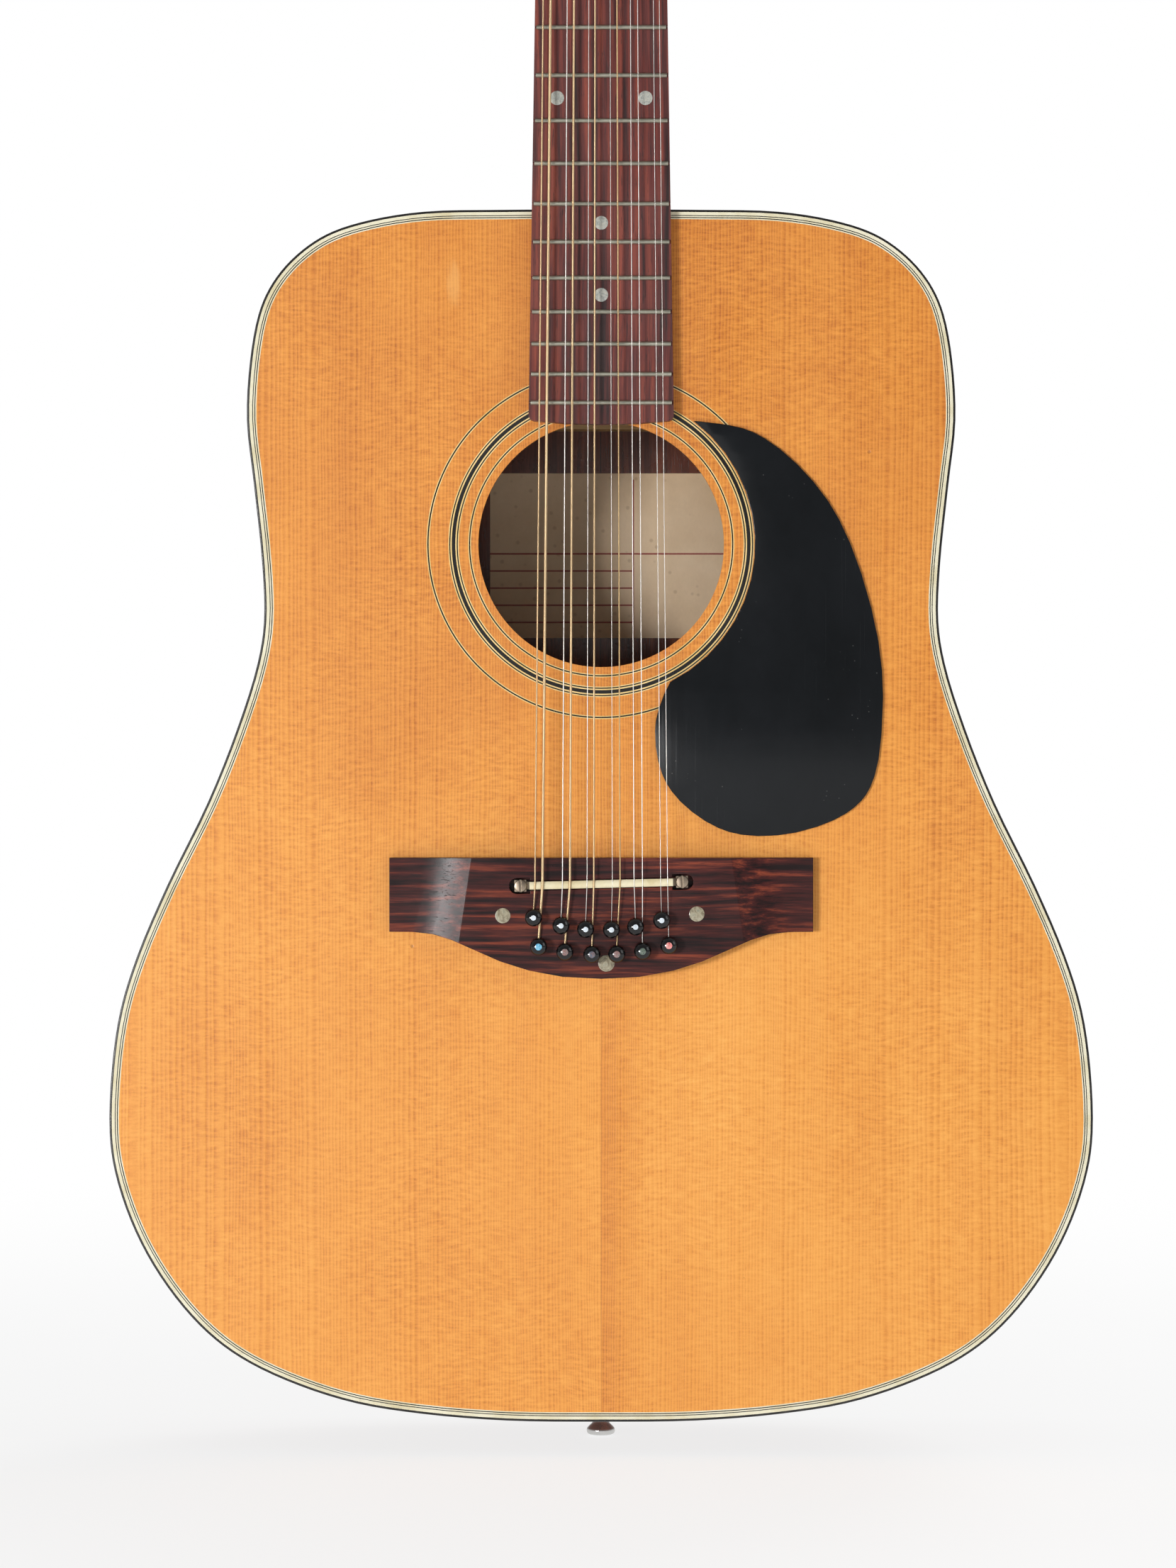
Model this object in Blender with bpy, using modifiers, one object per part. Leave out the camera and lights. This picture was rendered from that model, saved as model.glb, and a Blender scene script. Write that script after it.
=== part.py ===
"""Twelve-string dreadnought acoustic guitar, built piece by piece as it would come apart on a bench.

+Z runs up the neck, the soundboard faces -Y, the bass side is -X and the treble side is +X.
The origin is the centre of the end button's flat outer face. Lengths are millimetres.
"""
import math

import bmesh
import bpy
from mathutils import Matrix, Vector

MM = 0.001
GAP = 0.3                      # glue line or assembly gap between neighbouring pieces
CLEAR_Y = -80                  # outer end of a cutter that starts in front of the guitar
SIDES = (("bass", -1), ("treble", 1))

# Body
TAIL_Z = 13.0
BODY_TOP_Z = 518.8             # where the neck meets the body, at the 14th fret
TOP_Y = -59.0                  # outer face of the soundboard
BACK_Y_TAIL, BACK_Y_NECK = 59.0, 41.0   # outer face of the back: the body is deeper at the tail
BOARD_T = 2.8                  # soundboard and back thickness
RIB_T = 2.2
BINDING_H = 6.0
LINING_W, LINING_H = 6.0, 12.0
BOARD_INSET = RIB_T + GAP      # from the outline to the edge of the soundboard and back
LINING_INSET = BOARD_INSET + LINING_W
UNDER_TOP = TOP_Y + BOARD_T + GAP
UNDER_BACK = -BOARD_T - GAP    # measured from the outer face of the back
SOUNDHOLE_R, SOUNDHOLE_Z = 51.25, 379.1

# Neck and fingerboard
SCALE_LENGTH = 634.0
NUT_Z = 872.0
NUT_W, NUT_T = 46.8, 5.4
FRETS = 20
BOARD_END_Z, BOARD_END_W = 430.2, 60.6
BOARD_TOP_Y = TOP_Y - 6.1      # outer face of the fingerboard
NECK_BOTTOM_Z = BODY_TOP_Z + GAP
ROD_Y = -52.5                  # truss rod axis
HEAD_TILT = math.radians(14.0)
HEAD_T, VENEER_T = 15.0, 1.5

# Bridge and saddle
BRIDGE_Z_TOP = 248.4
BRIDGE_T, WING_T = 9.0, 4.8
BRIDGE_FACE_Y = TOP_Y - BRIDGE_T
SADDLE_Z, SADDLE_TILT = 237.6, math.radians(1.43)
SADDLE_TOP_Y = -71.0

# Pins: (x, z) of the upper row for the octave strings and of the lower row for the main strings
FRONT_PINS = [(x, 219.4 + 0.0064 * x * x) for x in (-28.1, -16.7, -6.5, 4.2, 14.2, 25.0)]
BACK_PINS = [(x, 209.2 + 0.0048 * x * x) for x in (-26.0, -15.1, -3.9, 6.4, 17.1, 28.0)]
PIN_HOLE_R = 3.0
PIN_SET, STRING_SET = -0.8, 1.75   # in each hole the pin sits low and the string passes above it

# Tuning machines: six on a plate each side, worm and gear at 14 to 1
POST_X, POST_Z, POST_PITCH = 27.0, 36.0, 24.0
POSTS = [(side * POST_X, POST_Z + POST_PITCH * i) for side in (-1, 1) for i in range(6)]
POST_R, POST_HOLE_R = 3.0, 4.3

# Finishes: (colour, roughness, metallic)
SPRUCE = ((0.80, 0.42, 0.14), 0.3, 0.0)
BRACE = ((0.75, 0.58, 0.36), 0.6, 0.0)
ROSEWOOD = ((0.10, 0.035, 0.025), 0.4, 0.0)
DARKWOOD = ((0.16, 0.06, 0.03), 0.3, 0.0)
MAHOGANY = ((0.28, 0.11, 0.05), 0.35, 0.0)
CREAM = ((0.80, 0.76, 0.55), 0.35, 0.0)
BONE = ((0.85, 0.80, 0.62), 0.4, 0.0)
BLACK = ((0.01, 0.01, 0.011), 0.25, 0.0)
NICKEL = ((0.75, 0.74, 0.70), 0.22, 1.0)
FRETWIRE = ((0.62, 0.62, 0.57), 0.3, 1.0)
STEEL = ((0.70, 0.68, 0.60), 0.25, 1.0)
BRASS = ((0.62, 0.48, 0.25), 0.4, 1.0)

for old in list(bpy.data.objects):
    bpy.data.objects.remove(old, do_unlink=True)

guitar = bpy.data.collections.new("acoustic_guitar")
cutters = bpy.data.collections.new("cutters")
bpy.context.scene.collection.children.link(guitar)
bpy.context.scene.collection.children.link(cutters)


# ---- objects --------------------------------------------------------------------------

def material(name, finish):
    colour, roughness, metallic = finish
    made = bpy.data.materials.new(name)
    made.use_nodes = True
    shader = made.node_tree.nodes["Principled BSDF"]
    shader.inputs["Base Color"].default_value = (*colour, 1.0)
    shader.inputs["Roughness"].default_value = roughness
    shader.inputs["Metallic"].default_value = metallic
    made.diffuse_color = (*colour, 1.0)
    return made


def frame(name, location, rotation):
    """An empty that carries other pieces, at a location in mm."""
    made = bpy.data.objects.new(name, None)
    made.empty_display_size = 0.02
    made.matrix_world = Matrix.Translation(Vector(location) * MM) @ rotation
    guitar.objects.link(made)
    return made


def placed(name, mesh, collection, parent, location, rotation):
    mesh.name = name
    mesh.shade_smooth()
    mesh.set_sharp_from_angle(angle=math.radians(46))
    made = bpy.data.objects.new(name, mesh)
    made.location = Vector(location) * MM
    made.rotation_euler = rotation
    made.parent = parent
    collection.objects.link(made)
    return made


def piece(name, mesh, finish, parent=None, location=(0, 0, 0)):
    """A named piece of the guitar. location is in mm, in its parent's frame."""
    mesh.materials.clear()
    mesh.materials.append(material(name, finish))
    return placed(name, mesh, guitar, parent, location, (0, 0, 0))


def cutter(name, mesh, parent=None, location=(0, 0, 0), rotation=(0, 0, 0)):
    """A hidden shape that is cut from a piece or joined to it."""
    made = placed(name, mesh, cutters, parent, location, rotation)
    made.hide_render = True
    made.display_type = "WIRE"
    return made


def boolean(part, operation, tools):
    for tool in tools:
        modifier = part.modifiers.new(f"{operation.lower()}_{tool.name}", "BOOLEAN")
        modifier.operation = operation
        modifier.object = tool
        modifier.solver = "EXACT"
    return part


def cut(part, *tools):
    return boolean(part, "DIFFERENCE", tools)


def join(part, *tools):
    return boolean(part, "UNION", tools)


# ---- meshes ---------------------------------------------------------------------------

STAND = Matrix.Rotation(math.pi / 2, 4, "X")    # a drawing's (x, y) becomes (x, z), thick along y
# a drawing's (x, y) becomes (y, z), thick along x
ACROSS = Matrix(((0, 0, 1, 0), (1, 0, 0, 0), (0, 1, 0, 0), (0, 0, 0, 1)))


def mesh_from(bm):
    mesh = bpy.data.meshes.new("mesh")
    bm.to_mesh(mesh)
    bm.free()
    return mesh


def welded(mesh, fill=False):
    """Merges a mesh's doubled points; fill also closes its open ends."""
    bm = bmesh.new()
    bm.from_mesh(mesh)
    bmesh.ops.remove_doubles(bm, verts=bm.verts, dist=1e-6)
    if fill:
        bmesh.ops.holes_fill(bm, edges=[e for e in bm.edges if e.is_boundary], sides=12)
    bmesh.ops.recalc_face_normals(bm, faces=bm.faces)
    bm.to_mesh(mesh)
    bm.free()
    return mesh


def evaluated(guide):
    """The mesh that a temporary object makes; the object is removed."""
    cutters.objects.link(guide)
    bpy.context.view_layer.update()
    graph = bpy.context.evaluated_depsgraph_get()
    mesh = bpy.data.meshes.new_from_object(guide.evaluated_get(graph))
    bpy.data.objects.remove(guide)
    return mesh


def from_curve(curve, matrix):
    """The mesh of a curve, welded, moved by matrix."""
    guide = bpy.data.objects.new("guide", curve)
    guide.matrix_world = matrix
    mesh = evaluated(guide)
    mesh.transform(matrix)
    bpy.data.curves.remove(curve)
    return welded(mesh)


def add_spline(curve, points):
    spline = curve.splines.new("POLY")
    spline.points.add(len(points) - 1)
    for target, point in zip(spline.points, points):
        target.co = (*(Vector(point).to_3d() * MM), 1)
    return spline


def drawn(loops, low, high, turn):
    """A 2D outline given thickness from low to high: the first loop is its edge, others holes."""
    curve = bpy.data.curves.new("outline", "CURVE")
    curve.dimensions = "2D"
    curve.fill_mode = "BOTH"
    curve.extrude = (high - low) / 2 * MM
    for loop in loops:
        add_spline(curve, loop).use_cyclic_u = True
    normal = turn.to_3x3() @ Vector((0, 0, 1))
    along = Vector([abs(part) for part in normal])
    return from_curve(curve, Matrix.Translation(along * ((low + high) / 2 * MM)) @ turn)


def flat(loops, low, high):
    """A flat piece between the planes y = low and y = high, from (x, z) points."""
    return drawn(loops, low, high, STAND)


def across(loop, low, high):
    """A bar of constant section from x = low to x = high, from (y, z) points."""
    return drawn([loop], low, high, ACROSS)


def wire(points, radius, resolution=1):
    """A round wire through points, with closed ends."""
    curve = bpy.data.curves.new("wire", "CURVE")
    curve.dimensions = "3D"
    curve.bevel_depth = radius * MM
    curve.bevel_resolution = resolution
    curve.use_fill_caps = True
    add_spline(curve, points)
    return from_curve(curve, Matrix.Identity(4))


def rod(radius, start, end, segments=12):
    """A cylinder from start to end."""
    start, end = Vector(start) * MM, Vector(end) * MM
    turn = (end - start).to_track_quat("Z", "Y").to_matrix().to_4x4()
    bm = bmesh.new()
    bmesh.ops.create_cone(
        bm, cap_ends=True, segments=segments, radius1=radius * MM, radius2=radius * MM,
        depth=(end - start).length, matrix=Matrix.Translation((start + end) / 2) @ turn)
    return mesh_from(bm)


def block(low, high):
    low, high = Vector(low) * MM, Vector(high) * MM
    scale = Matrix.Diagonal((*(high - low), 1.0))
    bm = bmesh.new()
    bmesh.ops.create_cube(bm, size=1.0, matrix=Matrix.Translation((low + high) / 2) @ scale)
    return mesh_from(bm)


def screwed(points, axis, steps, turns=1, offset=0.0):
    """A profile turned about an axis, moving by offset each turn, with its open ends filled."""
    profile = bpy.data.meshes.new("profile")
    edges = [(i, i + 1) for i in range(len(points) - 1)]
    if turns > 1:
        edges.append((len(points) - 1, 0))
    profile.from_pydata([Vector(point) * MM for point in points], edges, [])
    guide = bpy.data.objects.new("profile", profile)
    screw = guide.modifiers.new("screw", "SCREW")
    screw.axis = axis
    screw.steps = screw.render_steps = steps
    screw.iterations = turns
    screw.screw_offset = offset * MM
    screw.use_merge_vertices = turns == 1
    screw.merge_threshold = 0.00001
    return welded(evaluated(guide), fill=True)


def together(meshes):
    """Several separate shapes in one mesh."""
    bm = bmesh.new()
    for mesh in meshes:
        bm.from_mesh(mesh)
        bpy.data.meshes.remove(mesh)
    return mesh_from(bm)


def loft(sections):
    """A closed solid through sections, each a loop of the same number of points."""
    bm = bmesh.new()
    rings = [[bm.verts.new(Vector(point) * MM) for point in section] for section in sections]
    count = len(rings[0])
    for low, high in zip(rings, rings[1:]):
        for i in range(count):
            j = (i + 1) % count
            bm.faces.new((low[i], low[j], high[j], high[i]))
    bm.faces.new(rings[0])
    bm.faces.new(rings[-1])
    bmesh.ops.recalc_face_normals(bm, faces=bm.faces)
    bmesh.ops.triangulate(bm, faces=[face for face in bm.faces if len(face.verts) > 4])
    return mesh_from(bm)


def bent(mesh, rule):
    """Moves each point of a mesh by a rule on its (x, y, z) in mm."""
    for vertex in mesh.vertices:
        vertex.co = Vector(rule(*(vertex.co / MM))) * MM
    return mesh


# ---- outlines -------------------------------------------------------------------------

def mirrored(points):
    """Points followed back by their mirror images; those on x = 0 aren't doubled."""
    return points + [(-x, *rest) for x, *rest in reversed(points) if x]


def tapered(low_half, low_z, high_half, high_z):
    """A four-sided loop about x = 0, of half width low_half at low_z and high_half at high_z."""
    return [(-low_half, low_z), (low_half, low_z), (high_half, high_z), (-high_half, high_z)]


def arc(x, z, radius, start, end, steps):
    angles = [start + (end - start) * i / steps for i in range(steps + 1)]
    return [(x + radius * math.cos(a), z + radius * math.sin(a)) for a in angles]


def blend(start, end, start_t, end_t, t):
    span = end_t - start_t
    return start * ((end_t - t) / span) + end * ((t - start_t) / span)


def spline_through(points, before, after, steps=40):
    """A centripetal Catmull-Rom curve; before and after set its direction at the ends."""
    knots = [Vector(point) for point in [before, *points, after]]
    dense = []
    for i in range(1, len(knots) - 2):
        near = knots[i - 1 : i + 3]
        times = [0.0]
        for start, end in zip(near, near[1:]):
            times.append(times[-1] + math.sqrt((end - start).length))
        for k in range(steps):
            t = times[1] + (times[2] - times[1]) * k / steps
            lines = [blend(near[j], near[j + 1], times[j], times[j + 1], t) for j in range(3)]
            bends = [blend(lines[j], lines[j + 1], times[j], times[j + 2], t) for j in range(2)]
            dense.append(blend(*bends, times[1], times[2], t))
    dense.append(knots[-2])
    return dense


TURN_WEIGHT = 150.0            # length that a turn of one radian counts as


def resampled(dense, count):
    """count + 1 points along a curve, closer together where it bends."""
    weights = [0.0]
    for i in range(1, len(dense)):
        step = dense[i] - dense[i - 1]
        turn = 0.0
        if i > 1:
            before = dense[i - 1] - dense[i - 2]
            if before.length > 1e-9 and step.length > 1e-9:
                turn = before.angle(step)
        weights.append(weights[-1] + step.length + TURN_WEIGHT * turn)
    made, k = [], 0
    for i in range(count + 1):
        goal = weights[-1] * i / count
        while k < len(weights) - 2 and weights[k + 1] < goal:
            k += 1
        span = weights[k + 1] - weights[k]
        share = 0.0 if span == 0 else (goal - weights[k]) / span
        made.append(dense[k].lerp(dense[k + 1], min(1.0, max(0.0, share))))
    return made


def across_axis(point):
    return Vector((-point[0], point[1]))


# the treble half of the body outline, tail to neck: (half width, height)
STATIONS = [
    (0, 13), (60, 14.8), (112, 23.3), (158, 44.8), (188, 80), (203.5, 120), (204.8, 150),
    (200.3, 186), (188, 221.5), (160, 281), (143, 331), (140.5, 353), (144, 396), (147.8, 436),
    (140, 483), (119, 506), (86, 516.5), (45, 518.6), (0, 518.8),
]
HALF = resampled(
    spline_through(STATIONS, across_axis(STATIONS[1]), across_axis(STATIONS[-2])), 32)
HALF[0].x = HALF[-1].x = 0.0


def half_outline(inset):
    """The treble half of the outline, tail to neck, moved in by inset."""
    path = [across_axis(HALF[1]), *HALF, across_axis(HALF[-2])]
    made = []
    for before, point, after in zip(path, path[1:], path[2:]):
        along = (after - before).normalized()
        moved = point + Vector((-along.y, along.x)) * inset
        made.append((moved.x, moved.y))
    return made


def outline(inset):
    return mirrored(half_outline(inset))


def back_y(z):
    """Outer face of the back at height z."""
    return BACK_Y_TAIL + (BACK_Y_NECK - BACK_Y_TAIL) * (z - TAIL_Z) / (BODY_TOP_Z - TAIL_Z)


def on_back(mesh):
    """Moves a mesh whose y is measured from the back's outer face into place."""
    return bent(mesh, lambda x, y, z: (x, y + back_y(z), z))


def stretched_to_back(mesh, depth):
    """Moves the inner end of a mesh, drawn at y = 0, to depth inside the back's outer face."""
    return bent(mesh, lambda x, y, z: (x, y if y < -1 else back_y(z) - depth, z))


def reach(start, direction, inset):
    """Where a ray from start meets the outline moved in by inset."""
    loop, nearest = outline(inset), None
    start, ray = Vector(start), Vector(direction).normalized()
    for corner, following in zip(loop, loop[1:] + loop[:1]):
        corner = Vector(corner)
        edge = Vector(following) - corner
        cross = ray.x * edge.y - ray.y * edge.x
        if abs(cross) < 1e-9:
            continue
        offset = corner - start
        distance = (offset.x * edge.y - offset.y * edge.x) / cross
        share = (offset.x * ray.y - offset.y * ray.x) / cross
        if distance > 0 and 0 <= share <= 1 and (nearest is None or distance < nearest):
            nearest = distance
    return start + ray * nearest


def bar(start, end, width, low, high):
    """A straight brace between two (x, z) points, from y = low to y = high."""
    start, end = Vector(start), Vector(end)
    side = (end - start).normalized().orthogonal() * width / 2
    corners = (start + side, end + side, end - side, start - side)
    return flat([[tuple(corner) for corner in corners]], low, high)


def cross_bar(z, inset, width, low, high):
    """A brace across the body at height z."""
    return bar(reach((0, z), (-1, 0), inset), reach((0, z), (1, 0), inset), width, low, high)


# ---- body shell -----------------------------------------------------------------------

pin_holes = cutter("pin_hole_cutter", together([
    rod(PIN_HOLE_R, (x, CLEAR_Y, z), (x, -49, z), 8) for x, z in FRONT_PINS + BACK_PINS]))
dovetail_hole = cutter("dovetail_cutter", flat([tapered(7.4, 522, 11.5, 500.6)], -53.1, 15.3))
button_screw_hole = cutter("button_screw_cutter", rod(2.4, (0, 0, 5), (0, 0, 45), 10))

soundhole = arc(0, SOUNDHOLE_Z, SOUNDHOLE_R, 0, 2 * math.pi, 40)[:-1]
soundboard_mesh = flat([outline(BOARD_INSET), soundhole], TOP_Y, TOP_Y + BOARD_T)
cut(piece("soundboard", soundboard_mesh, SPRUCE), pin_holes)
piece("back", on_back(flat([outline(BOARD_INSET)], -BOARD_T, 0)), DARKWOOD)

binding = [outline(0), outline(RIB_T)]
piece("top_binding", flat(binding, TOP_Y, TOP_Y + BINDING_H), CREAM)
piece("back_binding", on_back(flat(binding, -BINDING_H, 0)), CREAM)


def rib(side):
    """Half of the body's wall, with a joint at the tail and at the neck."""
    outer, inner = half_outline(0), half_outline(RIB_T)
    for edge in (outer, inner):
        for end in (0, -1):
            edge[end] = (GAP / 2, edge[end][1])
    loop = [(x * side, z) for x, z in outer + inner[::-1]]
    return stretched_to_back(flat([loop], TOP_Y + BINDING_H + GAP, 0), BINDING_H + GAP)


for side_name, side in SIDES:
    cut(piece(f"rib_{side_name}", rib(side), DARKWOOD), dovetail_hole, button_screw_hole)

NECK_BLOCK_HALF, TAIL_BLOCK_HALF = 32, 30
LINING_GAP_HALF = NECK_BLOCK_HALF + GAP
block_room = cutter("lining_gap_cutter",
                    block((-LINING_GAP_HALF, -70, 440), (LINING_GAP_HALF, 70, 530)))
lining = [outline(BOARD_INSET), outline(LINING_INSET)]
cut(piece("top_lining", flat(lining, UNDER_TOP, UNDER_TOP + LINING_H), BRACE), block_room)
cut(piece("back_lining", on_back(flat(lining, UNDER_BACK - LINING_H, UNDER_BACK)), BRACE),
    block_room)


def end_block(half, low_z, high_z):
    """A block that fills the body from the soundboard to the back."""
    mesh = block((-half, UNDER_TOP, low_z), (half, 0, high_z))
    return stretched_to_back(mesh, BOARD_T + GAP)


neck_block_mesh = end_block(NECK_BLOCK_HALF, 458, BODY_TOP_Z - BOARD_INSET)
cut(piece("neck_block", neck_block_mesh, MAHOGANY), dovetail_hole)

# the tail block is notched round both linings
notch = [outline(RIB_T - 3), outline(LINING_INSET + GAP)]
tail_notch = cutter("tail_notch_cutter", together([
    flat(notch, TOP_Y - 5, UNDER_TOP + LINING_H + GAP),
    on_back(flat(notch, UNDER_BACK - LINING_H - GAP, 5))]))
cut(piece("tail_block", end_block(TAIL_BLOCK_HALF, 16.3, 39), MAHOGANY),
    tail_notch, button_screw_hole)

# ---- soundboard braces: the X, its two tone bars let into one leg, the transverse bar ----

X_CENTRE, X_ANGLE = (0.0, 298.0), math.radians(46)
X_WIDTH, BRACE_H = 7, 14
TONE_BARS = [((-86.5, 214.5), (70, 118)), ((-121, 181), (42, 84))]   # (x, z) of the two ends


def x_leg(side):
    along = Vector((math.sin(X_ANGLE) * side, math.cos(X_ANGLE)))
    start, end = [reach(X_CENTRE, ray, LINING_INSET + 7) for ray in (along, -along)]
    return bar(start, end, X_WIDTH, UNDER_TOP, UNDER_TOP + BRACE_H)


tone_bars = together([
    bar(start, end, 6, UNDER_TOP + 0.2, UNDER_TOP + 10) for start, end in TONE_BARS])
join(piece("x_brace", x_leg(-1), BRACE),
     cutter("x_brace_leg", x_leg(1)), cutter("tone_bars", tone_bars))
piece("transverse_brace",
      cross_bar(443, LINING_INSET + 1, 10, UNDER_TOP, UNDER_TOP + BRACE_H), BRACE)
bridge_plate_mesh = flat([tapered(52, 203, 46, 238)], UNDER_TOP, UNDER_TOP + 2.5)
cut(piece("bridge_plate", bridge_plate_mesh, MAHOGANY), pin_holes)

# ---- back braces: a bar near the neck, and a centre strip with three bars across it ----

UPPER_BAR = (438, 9, 14)       # (height up the body, width, depth)
STRIP_BARS = [(318, 8, 14), (238, 16, 9), (132, 16, 9)]


def back_bar(z, width, depth):
    """A bar across the back, its outer face 0.1 inside the centre strip's."""
    return on_back(cross_bar(z, LINING_INSET + 4, width, UNDER_BACK - depth, UNDER_BACK - 0.1))


strip = on_back(flat([tapered(8, 40, 8, 322)], UNDER_BACK - 2.5, UNDER_BACK))
join(piece("back_bracing", strip, BRACE),
     cutter("back_bars", together([back_bar(*sizes) for sizes in STRIP_BARS])))
piece("back_brace_upper", back_bar(*UPPER_BAR), BRACE)

# ---- pickguard: a teardrop whose inner edge is an arc about the soundhole ---------------

GUARD_R, GUARD_T = 64.2, 1.2
GUARD_TIP, GUARD_HEEL = math.radians(53), math.radians(-63.3)
# (x, z) along the free edge, from the tip round the treble side towards the heel
GUARD_EDGE = [
    (38.5, 430.5), (65, 425), (94, 398), (112, 355), (117.5, 313),
    (110, 274), (84, 259.5), (52, 259.5), (28, 278), (22.5, 303),
]
guard_arc = arc(0, SOUNDHOLE_Z, GUARD_R, GUARD_HEEL, GUARD_TIP, 14)
guard_curve = spline_through([*GUARD_EDGE, guard_arc[0]], before=(25, 431), after=(32, 325))
guard_edge = [(point.x, point.y) for point in resampled(guard_curve, 44)[:-1]]
piece("pickguard", flat([guard_edge + guard_arc], TOP_Y - GAP - GUARD_T, TOP_Y - GAP), BLACK)

# ---- end button: turned, with its screw in the tail block -------------------------------

# (radius, z) from the screw's tip to the outer face
END_BUTTON = [
    (0, 32), (1.9, 32), (1.9, 12.7), (4.6, 12.7), (4.6, 12.4), (3.5, 9.5),
    (3.3, 6.0), (4.4, 4.2), (6.1, 2.6), (6.1, 0.9), (4.9, 0), (0, 0),
]
piece("end_button", screwed([(radius, 0, z) for radius, z in END_BUTTON], "Z", 16), NICKEL)

# ---- neck and headstock -----------------------------------------------------------------

HEEL_DEPTH = 97.8
# half of each section: (share of the half width, share of the depth)
ROUND = [(1.0, 0.0), (0.995, 0.14), (0.95, 0.38), (0.83, 0.63), (0.60, 0.85), (0.27, 0.98)]
HEEL = [(1.0, 0.0), (0.90, 0.14), (0.74, 0.36), (0.58, 0.60), (0.45, 0.85), (0.37, 1.0)]
# (height, depth of wood behind the fingerboard, share of heel shape)
NECK_STATIONS = [
    (882, 14.8, 0), (800, 15.3, 0), (700, 16.2, 0), (610, 17.2, 0),
    (584, 18.6, 0.05), (570, 23, 0.2), (558, 33, 0.45), (548, 50, 0.75), (540, 72, 0.95),
    (535.5, HEEL_DEPTH, 1.0), (527, HEEL_DEPTH, 1.0), (NECK_BOTTOM_Z, HEEL_DEPTH, 1.0),
]
# treble half of the headstock, from the nut up: (x, z) in its own frame
HEAD_OUTLINE = [
    (23.7, 0), (25.0, 8), (29.5, 15.5), (35.5, 21), (38.8, 27), (39.5, 36),
    (40.5, 176), (37.0, 182.5), (24.0, 184.8), (10.0, 183.6), (0, 182.4),
]
# treble half of the heel cap: (x, z)
CAP_OUTLINE = [(11.0, NECK_BOTTOM_Z), (11.1, 526), (10.2, 531.5), (7.5, 535.2)]
CAP_Y, CAP_T = TOP_Y + HEEL_DEPTH + GAP, 2.0
ROD_POCKET_HALF = 5.5


def board_half(z):
    """Half width of the fingerboard at height z."""
    return (NUT_W + (BOARD_END_W - NUT_W) * (NUT_Z - z) / (NUT_Z - BOARD_END_Z)) / 2


def neck_section(z, depth, heel):
    half = board_half(min(z, NUT_Z))
    treble = []
    for (round_x, round_y), (heel_x, heel_y) in zip(ROUND, HEEL):
        share_x = round_x + (heel_x - round_x) * heel
        share_y = round_y + (heel_y - round_y) * heel
        treble.append((share_x * half, TOP_Y + share_y * depth, z))
    return mirrored(treble)


def post_holes(name):
    return cutter(name, together([
        rod(POST_HOLE_R, (x, -4, z), (x, 20, z), 8) for x, z in POSTS]), HEAD)


HEAD = frame("headstock_frame", (0, TOP_Y - VENEER_T, NUT_Z + NUT_T + 0.7),
             Matrix.Rotation(-HEAD_TILT, 4, "X"))
head_loop = mirrored(HEAD_OUTLINE)

neck = piece("neck", loft([neck_section(*station) for station in NECK_STATIONS]), MAHOGANY)
cut(neck, cutter("veneer_room", block((-50, -12, -GAP), (50, VENEER_T + GAP, 30)), HEAD))
head_slab = flat([head_loop], VENEER_T + GAP, VENEER_T + HEAD_T)
join(neck,
     cutter("headstock_slab", head_slab, HEAD),
     cutter("dovetail_tenon", flat([tapered(7, 520.5, 11, 501)], -52.8, 15.0)))
cut(neck,
    cutter("neck_hollows", block((-3.2, -64, 526), (3.2, -49.6, 877.4))),
    cutter("rod_pocket", block((-ROD_POCKET_HALF, -66, 876.5), (ROD_POCKET_HALF, -48.2, 902))),
    post_holes("post_holes"))
piece("heel_cap", flat([mirrored(CAP_OUTLINE)], CAP_Y, CAP_Y + CAP_T), BLACK)

veneer_pocket = flat([tapered(ROD_POCKET_HALF, -3, ROD_POCKET_HALF, 25.5)], -3, 5)
cut(piece("headstock_veneer", flat([head_loop], 0, VENEER_T), ROSEWOOD, HEAD),
    post_holes("veneer_holes"),
    cutter("veneer_pocket", veneer_pocket, HEAD))

# ---- fingerboard and frets --------------------------------------------------------------

FRET_H, FRET_W = 1.3, 2.05
FRET_Z = [NUT_Z - SCALE_LENGTH * (1 - 2 ** (-n / 12)) for n in range(1, FRETS + 1)]
END_HALF = BOARD_END_W / 2
# treble half of the fingerboard's slightly convex end: (x, z)
BOARD_END = [
    (END_HALF - 0.1, BOARD_END_Z + 2.2), (END_HALF - 0.7, BOARD_END_Z + 0.7),
    (END_HALF - 2.2, BOARD_END_Z), (END_HALF * 0.5, BOARD_END_Z - 1.1), (0, BOARD_END_Z - 1.5),
]
# a fret wire's crown and tang: (z from its centre, height above the board)
FRET_SECTION = [
    (-FRET_W / 2, GAP), (-0.78, 0.9), (-0.3, FRET_H), (0.3, FRET_H), (0.78, 0.9),
    (FRET_W / 2, GAP), (0.2, GAP), (0.2, -2.0), (-0.2, -2.0), (-0.2, GAP),
]

board_loop = [(-NUT_W / 2, NUT_Z), (NUT_W / 2, NUT_Z)] + mirrored(BOARD_END)
fret_slots = together([
    block((-40, CLEAR_Y, z - 0.5), (40, BOARD_TOP_Y + 2.3, z + 0.5)) for z in FRET_Z])
spine_tunnel = block((-0.9, BOARD_TOP_Y + 1.1, 420), (0.9, BOARD_TOP_Y + 2.9, 880))
cut(piece("fingerboard", flat([board_loop], BOARD_TOP_Y, TOP_Y - GAP), ROSEWOOD),
    cutter("fret_slots", fret_slots), cutter("fret_spine_tunnel", spine_tunnel))


def fret(z):
    half = board_half(z) - 0.8
    return across([(BOARD_TOP_Y - height, z + dz) for dz, height in FRET_SECTION], -half, half)


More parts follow.
